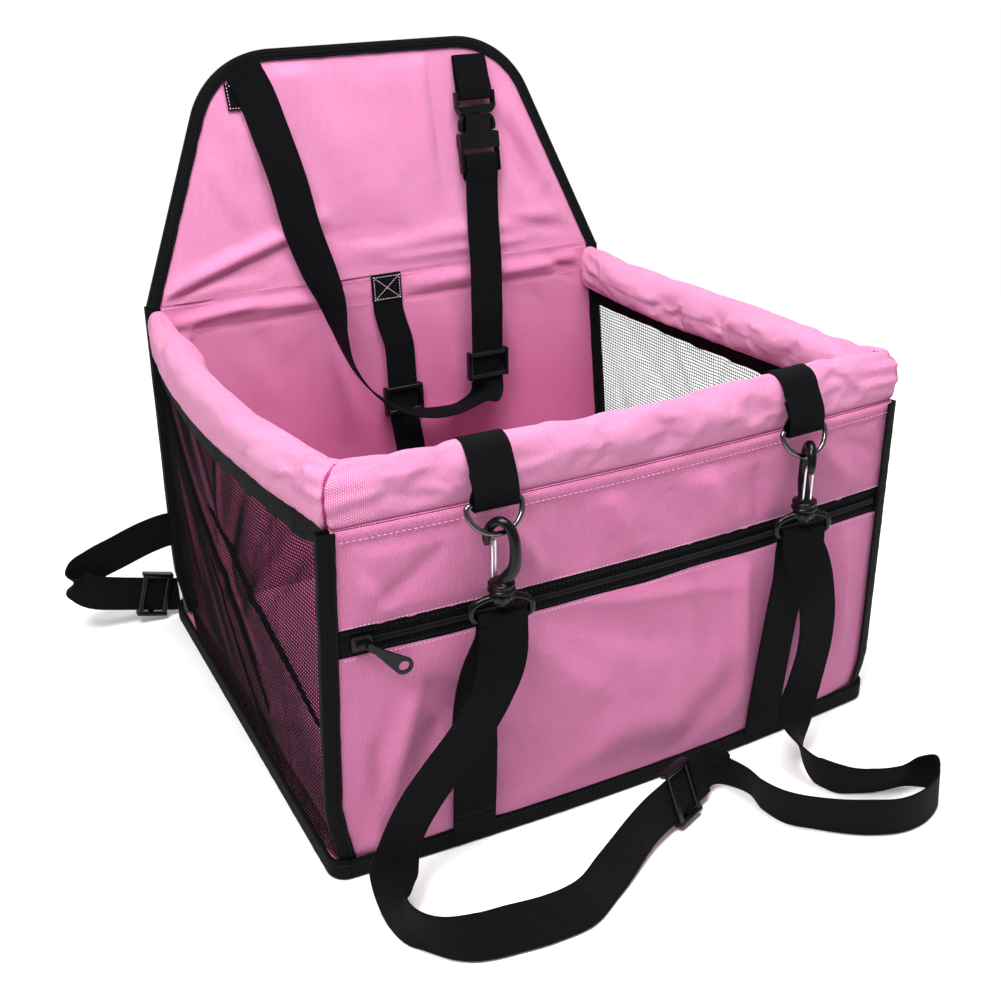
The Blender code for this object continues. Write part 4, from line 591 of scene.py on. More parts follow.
# folds are start x, z, end x, z, half width and height; waves are size, upright stretch, height and seed
pocket = {
    "top": 0.1535, "seam": 0.1519, "bulge": 0.005, "edge": 0.0085 / 0.383 * 1.1, "waves": (0.075, 0.55, 0.0030, 4),
    "pressed": [(-0.1133, 0.060, 0.021, 0.085), (0.1040, 0.060, 0.021, 0.085)],
    "folds": metres([
        (-180, 10, -146, 126, 7.5, 6.4), (-168, 6, -136, 96, 6, -5), (-168, 10, -172, 90, 5.5, -4),
        (-158, 6, -143, 60, 5, 4.6), (-92, 150, -30, 84, 10, 5), (-160, 142, -85, 66, 8, -4),
        (-60, 150, 26, 104, 10, -4), (-50, 152, 70, 132, 6.5, 2.8), (-90, 12, -10, 52, 12, 3.8),
        (20, 12, 78, 66, 13, -4.4), (74, 146, 82, 40, 7.5, 5), (128, 142, 132, 30, 6, 4.4),
        (142, 150, 152, 60, 7, -3.6), (162, 146, 170, 50, 6.5, 3.4), (36, 150, 56, 90, 7, -3),
        (120, 8, 178, 24, 7, 3), (-30, 60, 60, 30, 16, 2.6)], 6)}
frontWall = {
    "panelFoot": 0.1690, "panelTop": 0.2300, "turn": 0.2265, "hem": 0.2256, "tuck": 0.0030, "tuckFrom": 0.2278,
    "liningTop": 0.2267, "liningIn": 0.0033, "waves": (0.05, 0.45, 0.0022, 9), "liningWaves": (0.10, 0.8, 0.0012, 14),
    "folds": metres([
        (-185, 210, -160, 172, 5, 3.4), (-172, 178, -128, 208, 6, -2.2), (-88, 216, -66, 174, 6, 4.4),
        (-52, 212, -40, 176, 7, -2.4), (-26, 218, -6, 174, 7.5, 4.2), (14, 210, 34, 174, 8, -2),
        (40, 218, 62, 174, 6.5, 4.4), (78, 212, 84, 176, 5, -2), (128, 212, 160, 182, 7, 3.4),
        (150, 212, 180, 196, 5, -1.8)], 6)}
backWall = {
    "liningTop": 0.2512, "panelTop": 0.2475, "panelOut": 0.0041, "band": 0.237, "seams": (0.2275, 0.2466),
    "waves": (0.10, 0.7, 0.0034, 21), "panelWaves": (0.12, 0.8, 0.0014, 25),
    "pressed": [(-0.0005, 0.170, 0.0175, 0.082)],
    "folds": metres([
        (-175, 227.5, 175, 227.5, 2.4, -1.4), (-175, 246.6, 175, 246.6, 2.2, -0.9),
        (-176, 234, -110, 242, 4, 3), (-130, 240, -50, 236, 4.5, 2.6), (20, 237, 110, 239, 5, 2.4),
        (100, 236, 170, 240, 4.5, 2.8), (140, 244, 176, 222, 4.5, -2.6), (-160, 232, -172, 212, 5, 3),
        (-160, 214, -92, 50, 15, -5), (-60, 222, -48, 130, 10, 3.4), (120, 214, 150, 70, 14, -4.4),
        (40, 215, 64, 110, 11, 3.6), (96, 220, 110, 160, 7, 2.4), (-110, 220, -100, 180, 7, -2.2)], 6)}
pad = {"half": 0.190, "back": 0.1656, "frontGap": 0.0105, "low": 0.0051, "high": 0.0088,
       "waves": (0.09, 1.0, 0.0018, 31)}
bottom = {"half": 0.1985, "thick": 0.0015, "backOut": 0.0041}


def pocketPuff(x, z):
    across = within((x / (halfWidth(z) - bed["inset"]) + 1.0) / 2.0, pocket["edge"], 1 - pocket["edge"])
    up = within(z, bed["wallFoot"], pocket["top"])
    return pocket["bulge"] * sqrt(max(hump(across), 0.0)) * max(hump(up), 0.0) ** 0.7


def pocketOut(x, z):
    fade = edgeFade(x, z, 0.012, pocket["top"] + 0.003, halfWidth(z) - bed["inset"] - 0.008, 0.018)
    out = fade * (creases(x, z, pocket["folds"]) + waves(x, z, *pocket["waves"]))
    free = pressed(x, z, pocket["pressed"])
    out = pocketPuff(x, z) + out * (free if out > 0 else 1.0) - 0.0008 * (1 - free)
    return (out + sqrt(out * out + 1e-6)) / 2 - 0.0003


def pocketAt(u, v, face):
    z = lerp(bed["wallFoot"], pocket["seam"] - 0.0010 * speck(u * 9, 5, 1), v)
    x = wallX(u, z)
    return pullIn(frontAt(x, z, pocketOut(x, z) - face * bed["cloth"]))


def panelAt(u, v, face):
    # the panel's top edge is turned in under the rim
    z = lerp(frontWall["panelFoot"] + 0.0005 * speck(u * 7, 8, 1), frontWall["panelTop"], v)
    x, low = wallX(u, min(z, bed["hemHigh"])), min(z, frontWall["turn"])
    out = edgeFade(x, z, 0.168, 0.2215, halfWidth(z) - 0.010, 0.012) * (
        creases(x, z, frontWall["folds"]) + waves(x, z, *frontWall["waves"]) + 0.0012)
    hem = 0.0009 * exp(-((z - frontWall["hem"]) / 0.0036) ** 4) + 0.0003 * speck(x / 0.006, z / 0.01, 3)
    tuck = frontWall["tuck"] * ease(within(z, frontWall["tuckFrom"], frontWall["panelTop"]))
    return frontAt(x, low, max(out, -0.0004) + hem - face * bed["cloth"] - tuck) + upward * (z - low)


def frontLiningAt(u, v, face):
    z = lerp(bed["wallFoot"], frontWall["liningTop"], v)
    x = wallX(u, z)
    out = waves(x, z, *frontWall["liningWaves"]) * edgeFade(x, z, 0.01, 0.224, 0.185, 0.02)
    return pullIn(frontAt(x, z, face * bed["cloth"] - frontWall["liningIn"] - max(out, 0.0) * (1 - face)))


def backLiningAt(u, v, face):
    z = lerp(bed["wallFoot"], backWall["liningTop"], v)
    x = wallX(u, z)
    band = 0.0010 * exp(-((z - backWall["band"]) / 0.0085) ** 2)
    out = edgeFade(x, z, 0.004, 0.262, halfWidth(z) - 0.010, 0.014) * (
        creases(x, z, backWall["folds"]) + waves(x, z, *backWall["waves"]) + band)
    return pullIn(backAt(x, z, max(out, -0.0002) * pressed(x, z, backWall["pressed"]) - face * bed["cloth"]))


def backPanelAt(u, v, face):
    z = lerp(bed["wallFoot"], backWall["panelTop"], v)
    x = wallX(u, z)
    out = edgeFade(x, z, 0.012, 0.244, halfWidth(z) - 0.010, 0.02) * abs(waves(x, z, *backWall["panelWaves"]))
    return pullIn(backAt(x, z, -backWall["panelOut"] - (1 - face) * (bed["cloth"] + out)))


def padAt(u, v, face):
    x = lerp(-pad["half"], pad["half"], u)
    front = frontY(x, 0.0) + pad["frontGap"]
    y = lerp(front, pad["back"], v)
    edge = ease(within(min(pad["half"] - abs(x), y - front, pad["back"] - y), 0.0, 0.012))
    top = pad["high"] + edge * (0.0012 + waves(x, y, *pad["waves"])) - (1 - edge) * 0.0008
    return Vector((x, y, pad["low"] if face else top))


def bottomAt(u, v, face):
    x = lerp(-bottom["half"], bottom["half"], u)
    return Vector((x, lerp(frontY(x, 0.0) + 0.0015, bed["depth"] / 2 + bottom["backOut"], v), face * bottom["thick"]))


def makeWalls():
    # the walls take the darker copy of the cloth, a painted shade, and the lining its copy with painted shade deeper in
    for name, at, across, up, finish, slotName, node, uvAt in (
            ("pocket_front", pocketAt, 230, 92, shadedCopyCloth, "pink_cloth", "pocket_panel", None),
            ("upper_front", panelAt, 260, 44, shadedCopyCloth, "pink_cloth", "front_panel", None),
            ("front_lining", frontLiningAt, 120, 70, liningCloth, "pink_lining", "front_lining", None),
            ("back_lining", backLiningAt, 210, 140, liningCloth, "pink_lining", "back_lining", None),
            ("back_outer", backPanelAt, 120, 76, shadedCopyCloth, "pink_cloth", "back_panel", None),
            ("floor_pad", padAt, 100, 90, liningCloth, "pink_lining", "floor_lining",
             lambda u, v: (u * 0.38, v * 0.33)),
            ("bottom_cloth", bottomAt, 60, 50, shadedCopyCloth, "pink_cloth", "bottom_cover",
             lambda u, v: (u * 0.4, v * 0.35))):
        softSheet(name, at, across, up, finish, "shell", slotName, node, uvAt)


# back flap

flap = {
    "footHalf": 0.189, "topHalf": 0.118, "long": 0.170, "radius": 0.066, "footGap": -0.0009, "binding": 0.0084,
    "deep": 0.0050, "cloth": 0.0012, "crowd": 1.35, "waves": (0.085, 0.7, 0.0030, 41),
    "pressed": [(-0.0965, 0.142, 0.020, 0.022), (0.086, 0.112, 0.022, 0.062)],
    "folds": metres([
        (-184, -1, -56, 36, 2.6, -5.6), (-172, 10, -50, 47, 6.4, 6.2), (-50, 34, 40, 24, 8, -2.2),
        (-20, 20, 150, 28, 8, 3.6), (56, 152, 60, 50, 7, -3.6), (42, 160, 46, 60, 8, 3.6),
        (116, 120, 150, 50, 7, 4), (112, 100, 132, 50, 6, -3.4), (-60, 165, -20, 70, 16, 3),
        (-128, 100, -112, 50, 8, 2.6), (-186, 6, -100, 5, 4.5, 3.4), (0, 8, 120, 9, 4.5, 3),
        (100, 30, 170, 12, 5.5, -2.2), (-140, 30, -150, 70, 8, -2.6)], 6)}
# the slanting side from the foot to the round corner, and the middle of that corner
flapFoot = Vector((flap["footHalf"], flap["footGap"]))
flapRun = (Vector((flap["topHalf"], flap["long"])) - flapFoot).normalized()
flapOutward = Vector((flapRun.y, -flapRun.x))
flapReach = (flap["long"] - flap["radius"] - flap["footGap"] + flapOutward.y * flap["radius"]) / flapRun.y
flapCentre = flapFoot + flapRun * flapReach - flapOutward * flap["radius"]


def flapSide(s):
    # half width of the flap at a height s up it
    if s <= flapCentre.y + flapOutward.y * flap["radius"]:
        return flap["footHalf"] + flapRun.x / flapRun.y * (s - flap["footGap"])
    return flapCentre.x + sqrt(max(flap["radius"] ** 2 - (s - flapCentre.y) ** 2, 0.0))


def flapOutline(count):
    start = atan2(flapOutward.y, flapOutward.x)
    right = [flapFoot + (flapRun * flapReach) * t for t in steps(count)[:-1]]
    for t in steps(count // 2):
        a = lerp(start, pi / 2, t)
        right.append(flapCentre + Vector((cos(a), sin(a))) * flap["radius"])
    top = right[-1].x
    middle = [Vector((lerp(-top, top, t), flap["long"])) for t in steps(count)[1:-1]]
    return [Vector((-p.x, p.y)) for p in right] + middle + list(reversed(right))


def outwardOf(outline):
    # every point of the flap's outline with the way out of the flap there
    rows = []
    for i, p in enumerate(outline):
        along = (outline[min(i + 1, len(outline) - 1)] - outline[max(i - 1, 0)]).normalized()
        rows.append((p, Vector((-along.y, along.x))))
    return rows


def flapOut(x, s):
    half = flapSide(min(s, flap["long"] - 0.0002))
    fade = edgeFade(x, s, 0.0, 0.1635, half - 0.006, 0.013)
    if s < 0.012:
        fade = max(fade, 0.5 * ease(within(half - 0.01 - abs(x), 0.0, 0.02)))
    out = fade * (creases(x, s, flap["folds"]) + waves(x, s, *flap["waves"]) + 0.0010)
    return min(out * pressed(x, s, flap["pressed"]), 0.0090)


def makeFlapCovers():
    for front, name, node in ((True, "flap_front_cloth", "flap_front_cover"),
                              (False, "flap_back_cloth", "flap_back_cover")):
        def coverAt(u, v, face, front=front):
            # rows follow the outline: they crowd towards the top
            s = flap["footGap"] + (flap["long"] - flap["footGap"] - 0.0002) * (1 - (1 - v) ** flap["crowd"])
            x = lerp(-1, 1, u) * flapSide(s)
            if front:
                return flapWorld(x, face * flap["cloth"] - (1 - face) * max(flapOut(x, s), 0.0), s)
            return flapWorld(x, flap["deep"] - face * flap["cloth"] + (1 - face) * 0.5 * abs(flapOut(-x, s)), s)

        def uvAt(u, v):
            s = flap["long"] * (1 - (1 - v) ** flap["crowd"])
            return (lerp(-1, 1, u) * flapSide(min(s, flap["long"] - 0.0004)), s)
        # the flap takes the lighter copy of the cloth, painted light
        softSheet(name, coverAt, 170, 100, litCopyCloth, "flap", "pink_cloth", node, uvAt)


makeWalls()
makeFlapCovers()
print("cloth walls and flap made")


# tapes

def loftPiece(name, rings, across, body, node, closed=False):
    run, uvs = 0.0, []
    for i, ring in enumerate(rings):
        if i:
            run += (ring[0] - rings[i - 1][0]).length
        uvs += [(a, run) for a in across]
    faces = tubeFaces(len(across), len(rings), closed)
    obj = addPiece(name, [p for ring in rings for p in ring], faces, uvs, tapeFinish, 55)
    return settle(obj, body, "black_tape", node)


tape = {"wide": 0.0100, "thick": 0.0015, "gap": 0.0003, "round": 0.0006, "lumps": 0.00024}


def tapeSection(layers, seed, run, wide=tape["wide"]):
    # a folded tape round an edge: across and depth of each point, wavy along its own edges
    web, arm = tape["gap"] + tape["thick"], tape["gap"] + tape["thick"] - wide
    near, far, r, mid = -tape["gap"], layers + tape["gap"], tape["round"], lerp(arm, web, 0.5)
    a, b = (arm + tape["lumps"] * 2.2 * speck(run / 0.012, seed + k, 0) for k in (0, 1))
    t = tape["thick"] + tape["lumps"] * speck(run / 0.006, seed + 9, 0)
    return [(web - r, near - t), (mid, near - t - 0.0001), (a + 0.0012, near - t), (a, near - t + 0.0004),
            (a, near), (0.0003, near), (0.0003, far), (b, far), (b, far + t - 0.0004), (b + 0.0012, far + t),
            (mid, far + t + 0.0001), (web - r, far + t), (web, far + t - r), (web + 0.0001, lerp(near, far, 0.5)),
            (web, near - t + r)]


def sectionWidths(section):
    run, widths = 0.0, [0.0]
    for (a, b), (c, d) in zip(section, section[1:]):
        run += sqrt((c - a) ** 2 + (d - b) ** 2)
        widths.append(run)
    return widths


# out: how far the bound edge stands out of the corner; turn: how far it leans to the side wall
cornerTapes = {
    "front": {"top": 0.2290, "layers": 0.0033, "seed": 50, "out": {-1: 0.0062, 1: 0.0010}, "turn": {-1: 0.0, 1: 0.30}},
    "back": {"top": 0.2490, "layers": 0.0056, "seed": 54, "out": {-1: 0.0020, 1: 0.0020}, "turn": {-1: 0.0, 1: 0.0}}}


def cornerTape(end, side, word):
    row = cornerTapes[end]
    seed, at = row["seed"] + side, frontAt if end == "front" else backAt
    rings = []
    for t in steps(90):
        z = lerp(0.0060, row["top"], t)
        edge = halfWidth(z) - bed["inset"]
        centre = at(side * edge, z, 0.0)
        outward = Vector((side * 0.01 * edge, at(edge, z, 0.0).y - at(0.99 * edge, z, 0.0).y, 0.0)).normalized()
        turn = side * row["turn"][side] * (1 + 0.25 * speck(z / 0.05, seed, 2))
        outward = Matrix.Rotation(turn, 3, "Z") @ outward
        inward = Vector((-outward.y * side, outward.x * side, 0.0))
        reach = row["out"][side] * ease(within(z, 0.004, 0.060)) * (1 + 0.10 * speck(z / 0.03, seed, 7))
        rings.append([pullIn(centre + outward * (a + reach) + inward * b)
                      for a, b in tapeSection(row["layers"], seed, z)])
    across = sectionWidths(tapeSection(row["layers"], seed, 0))
    loftPiece(end + "_corner_tape_" + word, rings, across, "shell", end + "_tape_" + word)


baseTape = {"thick": 0.0024, "high": 0.0132, "corner": 0.011, "sideLean": 0.0085,
            "section": ((-0.5, 0.0002), (-0.5, 0.97), (-0.3, 1.0), (0.2, 1.0), (0.45, 0.965), (0.52, 0.86),
                        (0.55, 0.5), (0.52, 0.14), (0.42, 0.03), (0.2, 0.0)),
            "across": (0, 0.010, 0.011, 0.0115, 0.012, 0.0135, 0.018, 0.022, 0.0235, 0.024)}


def baseOutline(grow, count=60):
    # the bowed front, then every corner as a quarter round with the straight side after it
    corner = baseTape["corner"]
    x, back = bed["width"] / 2 + grow - corner, bed["depth"] / 2 + 0.0056 + grow - corner
    front = frontY(x, 0.0) - grow + corner
    points = [(lerp(-x, x, t), frontY(lerp(-x, x, t), 0.0) - grow) for t in steps(count)]
    turns = ((x, front, -90), (x, back, 0), (-x, back, 90), (-x, front, 180))
    for k, (cx, cy, start) in enumerate(turns):
        for i in range(1 if k == 0 else 0, 8 if k == 3 else 9):
            a = radians(start + 90 * i / 8)
            points.append((cx + corner * cos(a), cy + corner * sin(a)))
        if k < 3:
            (ax, ay), (bx, by, _) = points[-1], turns[k + 1]
            bx, by = bx + corner * cos(radians(start + 90)), by + corner * sin(radians(start + 90))
            points += [(lerp(ax, bx, t / count), lerp(ay, by, t / count)) for t in range(1, count)]
    return points


def makeBaseTape():
    outline = baseOutline(0.0003 + baseTape["thick"] / 2)
    rings, run = [], 0.0
    for i, (x, y) in enumerate(outline):
        ahead, behind = Vector((*outline[(i + 1) % len(outline)], 0)), Vector((*outline[i - 1], 0))
        outward = (ahead - behind).normalized().cross(upward)
        lean = bed["backLean"] if outward.y > 0 else bed["frontLean"]
        lean = (lean * abs(outward.y) - baseTape["sideLean"] * abs(outward.x)) / bed["hemHigh"]
        run += (ahead - Vector((x, y, 0))).length
        top = baseTape["high"] + 0.0004 * speck(run / 0.02, 3, 0)
        puff = 0.00025 * speck(run / 0.008, 5, 0)
        ring = []
        for a, b in baseTape["section"]:
            side = a * baseTape["thick"] + (puff if a > 0 else 0.0)
            p = Vector((x, y, 0)) + outward * side + (upward + outward * lean) * (b * top)
            p.z = max(p.z, 0.0)
            ring.append(p)
        rings.append(ring)
    loftPiece("base_tape", rings, baseTape["across"], "shell", "base_binding", closed=True)


def makeFlapTape():
    rings, run, last = [], 0.0, None
    for p, outward in outwardOf(flapOutline(44)):
        run += (p - last).length if last else 0.0
        last = p
        rings.append([flapWorld(p.x + outward.x * a, b, p.y + outward.y * a)
                      for a, b in tapeSection(flap["deep"], 61, run, flap["binding"])])
    across = sectionWidths(tapeSection(flap["deep"], 61, 0, flap["binding"]))
    loftPiece("flap_tape", rings, across, "flap", "flap_binding")


for side, word in sides:
    cornerTape("front", side, word)
    cornerTape("back", side, word)
makeBaseTape()
makeFlapTape()
print("tapes made")


# padded rim

rim = {"around": 44, "count": 132, "pressure": 2.6, "grow": -0.020, "cap": 0.0022, "frames": 20, "mitre": 6,
       "power": 2.6, "footPower": (5.0, 3.4), "loose": -0.30, "narrow": 0.30}


def rimSection(angle, thick, high):
    power = rim["power"]
    if sin(angle) < 0:
        power = rim["footPower"][0 if cos(angle) < 0 else 1]
    a, b = blockRound(angle, power)
    return thick / 2 * a, high / 2 * b


def makeSleeve(name, node, rows, held, seed):
    # rows: (centre, inward, up, high, gathers); held(i, angle) is how firmly a point is sewn down
    around, count = rim["around"], len(rows)
    verts, uvs, grip, run = [], [], [], 0.0
    for i, (centre, inward, up, high, gathers) in enumerate(rows):
        if i:
            run += (centre - rows[i - 1][0]).length
        for j in range(around):
            angle = 2 * pi * j / around
            a, b = rimSection(angle, bed["rimThick"] - 0.0012, high - 0.0006)
            out = inward * a + up * b
            pucker = gathers * 0.0009 * speck(angle * 3.2, run / 0.03, seed)
            pucker += 0.0010 * speck(cos(angle) * 0.8, sin(angle) * 0.8 + 9, run / 0.040 + seed)
            if gathers > 0.7:
                pleat = sin(angle * 10 + seed + 1.5 * speck(run / 0.03, seed, 3))
                pucker += 0.0011 * ((gathers - 0.5) / 2) ** 2 * pleat
            # the foot stays smooth where it is sewn on
            verts.append(centre + out + out.normalized() * (pucker if b > high * rim["loose"] else 0.0))
            uvs.append((0.110 * j / around, run))
            grip.append(held(i, angle))
    faces = tubeFaces(around, count, ends=False)
    for row in (0, count - 1):
        k = len(verts)
        verts.append(sum((verts[row * around + j] for j in range(around)), Vector()) / around)
        uvs.append((0.05, run * row / (count - 1)))
        grip.append(1.0)
        faces += [(k, row * around + j, row * around + (j + 1) % around) for j in range(around)]
    # the sleeve takes the lighter copy of the cloth, painted light
    obj = addPiece(name, verts, faces, uvs, litCopyCloth)
    swell(obj, grip)
    more = obj.modifiers.new("Smooth", "SUBSURF")
    more.levels = more.render_levels = 1
    return settle(obj, "shell", "pink_cloth", node)


def swell(obj, grip):
    # the sleeve is blown up a little as cloth, and each point may move no further than the cap
    group = obj.vertex_groups.new(name="sewn")
    for k, weight in enumerate(grip):
        group.add([k], min(weight, 1.0), "REPLACE")
    mod = obj.modifiers.new("Cloth", "CLOTH")
    cloth = mod.settings
    cloth.quality = 5
    cloth.mass = 0.2
    cloth.tension_stiffness = cloth.compression_stiffness = 14
    cloth.shear_stiffness = 6
    cloth.bending_stiffness = 0.4
    cloth.use_pressure = True
    cloth.uniform_pressure_force = rim["pressure"]
    cloth.shrink_min = rim["grow"]
    cloth.vertex_group_mass = "sewn"
    cloth.effector_weights.gravity = 0
    mod.point_cache.frame_start, mod.point_cache.frame_end = 1, rim["frames"]
    scene = bpy.context.scene
    for frameNo in range(1, rim["frames"] + 1):
        scene.frame_set(frameNo)
    solved = obj.evaluated_get(bpy.context.evaluated_depsgraph_get()).data
    moved = [v.co.copy() for v in solved.vertices]
    obj.modifiers.remove(mod)
    for v, b in zip(obj.data.vertices, moved):
        step = b - v.co
        if step.length > rim["cap"]:
            step *= rim["cap"] / step.length
        v.co = v.co + step
    obj.vertex_groups.clear()
    scene.frame_set(1)


def makeFrontSleeve():
    n, rows = rim["count"], []
    for i in range(n + 1):
        t = i / n
        x = lerp(-rimX, rimX, t)
        mitre = max(1 - i / rim["mitre"], 0.0) - max(1 - (n - i) / rim["mitre"], 0.0)
        centre = Vector((x, frontY(x, bed["hemHigh"]) + bed["rimThick"] / 2, rimFrontZ))
        if i in (0, n):
            centre = centre + Vector((0.0003 * mitre, 0, 0))
        ends = max(1 - t / 0.16, 1 - (1 - t) / 0.16, 0.0)
        rows.append((centre, Vector((mitre, 1, 0)), upward, bed["rimHigh"], 0.5 + 2.0 * ends))

    def held(i, angle):
        x = lerp(-rimX, rimX, i / n)
        atLoop = max(exp(-((x - fittingX(s)) / 0.012) ** 4) for s in (-1, 1))
        foot = sin(angle) < -0.80 or (cos(angle) < 0 and sin(angle) < -0.48)
        end = 0.92 * (1 - ease(within(min(i, n - i), 0, 12)))
        return max(1.0 if foot or i in (0, n) else 0.0, end, 0.96 * atLoop)
    makeSleeve("front_rim_sleeve", "rim_sleeve_front", rows, held, 70)


def makeSideSleeve(side, word):
    # narrower towards the back, with one row more that leans against the back wall
    n, rows = rim["count"], []
    for i in range(n + 2):
        t, capped = i / n, min(i / n, 1.0)
        narrow = 1 - rim["narrow"] * ease(within(t, 0.80, 1.0))
        shift = 0.0003 if i == 0 else 0.0028 if i > n else 0.0
        centre = sideRim(side, capped) + Vector((side * (1 - narrow) * 0.0112, shift, 0))
        inward = Vector((-side * narrow, max(1 - i / rim["mitre"], 0.0), 0))
        lean = Vector((0, bed["backLean"] / bed["hemHigh"] * capped, 1))
        gathers = 0.7 + 1.8 * max(1 - t / 0.18, 0.4 - (1 - t) / 0.2, 0.0)
        rows.append((centre, inward, lean, sideRimHigh(capped), gathers * ease(within(1 - t, 0.0, 0.03))))

    def held(i, angle):
        return 1.0 if i == 0 or i >= n - 1 or sin(angle) < -0.95 else 0.0
    makeSleeve("side_rim_sleeve_" + word, "rim_sleeve_" + word, rows, held, 75 + side)


makeFrontSleeve()
for side, word in sides:
    makeSideSleeve(side, word)
print("padded rim made")


# pieces drawn by repeating nodes

def repeatTree(name, inputs, kinds, links):
    # kinds: node type, its attributes and its input values; links: from node, output, to node, input
    tree = bpy.data.node_groups.new(name, "GeometryNodeTree")
    face, sockets = tree.interface, {}
    face.new_socket("Geometry", in_out="INPUT", socket_type="NodeSocketGeometry")
    for label, kind in {**inputs, "Finish": "NodeSocketMaterial"}.items():
        sockets[label] = face.new_socket(label, in_out="INPUT", socket_type=kind).identifier
    face.new_socket("Geometry", in_out="OUTPUT", socket_type="NodeSocketGeometry")
    kinds = {"source": ("NodeGroupInput",), "curve": ("GeometryNodeMeshToCurve",), **kinds,
             "real": ("GeometryNodeRealizeInstances",), "smooth": ("GeometryNodeSetShadeSmooth",),
             "paint": ("GeometryNodeSetMaterial",), "target": ("NodeGroupOutput",)}
    nodes = {}
    for short, (kind, *more) in kinds.items():
        nodes[short] = tree.nodes.new(kind)
        for key, value in (more[0] if more else {}).items():
            setattr(nodes[short], key, value)
        for key, value in (more[1] if len(more) > 1 else {}).items():
            nodes[short].inputs[key].default_value = value
    for a, output, b, intake in [
            ("source", "Geometry", "curve", "Mesh"), *links, ("real", "Geometry", "smooth", "Geometry"),
            ("smooth", "Geometry", "paint", "Geometry"), ("source", "Finish", "paint", "Material"),
            ("paint", "Geometry", "target", "Geometry")]:
        tree.links.new(nodes[a].outputs[output], nodes[b].inputs[intake])
    return tree, sockets


strandTree = repeatTree(
    "knitted_strands", {"Strand radius": "NodeSocketFloat", "Sides": "NodeSocketInt"},
    {"profile": ("GeometryNodeCurvePrimitiveCircle",),
     "sweep": ("GeometryNodeCurveToMesh", {}, {"Fill Caps": True})},
    [("source", "Strand radius", "profile", "Radius"), ("source", "Sides", "profile", "Resolution"),
     ("curve", "Curve", "sweep", "Curve"), ("profile", "Curve", "sweep", "Profile Curve"),
     ("sweep", "Mesh", "real", "Geometry")])
stitchTree = repeatTree(
    "repeated_stitches", {"Pitch": "NodeSocketFloat", "Stitch size": "NodeSocketVector",
                          "Jitter": "NodeSocketFloat", "Seed": "NodeSocketInt"},
    {"even": ("GeometryNodeResampleCurve", {"mode": "LENGTH"}), "place": ("GeometryNodeInstanceOnPoints",),
     "bead": ("GeometryNodeMeshUVSphere", {}, {"Segments": 6, "Rings": 4, "Radius": 0.5}),
     "grow": ("GeometryNodeTransform",), "aim": ("FunctionNodeAlignRotationToVector", {"axis": "X"}),
     "tangent": ("GeometryNodeInputTangent",), "turn": ("FunctionNodeRandomValue", {"data_type": "FLOAT"}),
     "spin": ("FunctionNodeRotateRotation", {"rotation_space": "LOCAL"}), "joint": ("ShaderNodeCombineXYZ",),
     "euler": ("FunctionNodeEulerToRotation",), "minus": ("ShaderNodeMath", {"operation": "MULTIPLY"}, {1: -1.0})},
    [("curve", "Curve", "even", "Curve"), ("source", "Pitch", "even", "Length"), ("even", "Curve", "place", "Points"),
     ("bead", "Mesh", "grow", "Geometry"), ("source", "Stitch size", "grow", "Scale"),
     ("grow", "Geometry", "place", "Instance"), ("tangent", "Tangent", "aim", "Vector"),
     ("source", "Jitter", "minus", 0), ("minus", 0, "turn", 2), ("source", "Jitter", "turn", 3),
     ("source", "Seed", "turn", "Seed"), ("turn", 1, "joint", "Z"), ("joint", 0, "euler", 0),
     ("aim", "Rotation", "spin", "Rotation"), ("euler", 0, "spin", "Rotate By"),
     ("spin", "Rotation", "place", "Rotation"), ("place", "Instances", "real", "Geometry")])


def grown(name, lines, repeat, values, finish):
    # a plain mesh of what the node tree makes from the given polylines
    tree, sockets = repeat
    verts, edges = [], []
    for line in lines:
        edges += [(len(verts) + k, len(verts) + k + 1) for k in range(len(line) - 1)]
        verts += [tuple(p) for p in line]
    mesh = bpy.data.meshes.new(name + "_lines")
    mesh.from_pydata(verts, edges, [])
    obj = show(name, mesh)
    mod = obj.modifiers.new("Repeat", "NODES")
    mod.node_group = tree
    for label, value in {**values, "Finish": finish}.items():
        mod[sockets[label]] = value
    made = bpy.data.meshes.new_from_object(obj.evaluated_get(bpy.context.evaluated_depsgraph_get()))
    obj.modifiers.remove(mod)
    obj.data = made
    if not made.materials:
        made.materials.append(finish)
    return obj


def sew(name, lines, finish, body, slotName, pitch, size, seed, jitter=0.12):
    # pitch and size are in millimetres
    values = {"Pitch": pitch / 1000, "Stitch size": tuple(v / 1000 for v in size), "Jitter": jitter, "Seed": seed}
    return settle(grown(name, lines, stitchTree, values, finishes[finish]), body, slotName)


# side nets

# folds and pleats run in parts of the net's length and height; a pleat has a bow and a width besides
net = {"pleats": [(0.985, 0.95, 0.34, 0.22, 0.05, 0.075), (0.62, 0.72, 0.06, 0.42, 0.02, 0.045),
                  (0.66, 0.50, 0.30, 0.06, -0.06, 0.030)],
       "inset": 0.004, "long": 0.353, "high": 0.214, "pitch": 0.0026, "upright": 0.00026, "level": 0.00042,
       "step": 0.0052, "top": 0.985, "pleatOut": 0.0011,
       "folds": [(0.04, 0.97, 0.30, 0.60, 0.020, -0.0034), (0.10, 0.97, 0.45, 0.45, 0.025, 0.0030),
                 (0.20, 0.98, 0.36, 0.72, 0.018, -0.0022), (0.34, 0.98, 0.62, 0.40, 0.025, -0.0030),
                 (0.50, 0.98, 0.58, 0.62, 0.018, 0.0026), (0.92, 0.94, 0.40, 0.34, 0.028, 0.0022),
                 (0.70, 0.98, 0.50, 0.50, 0.022, -0.0024), (0.86, 0.60, 0.60, 0.16, 0.030, -0.0012),
                 (0.10, 0.40, 0.40, 0.12, 0.030, 0.0022), (0.96, 0.75, 0.80, 0.30, 0.020, 0.0010)]}


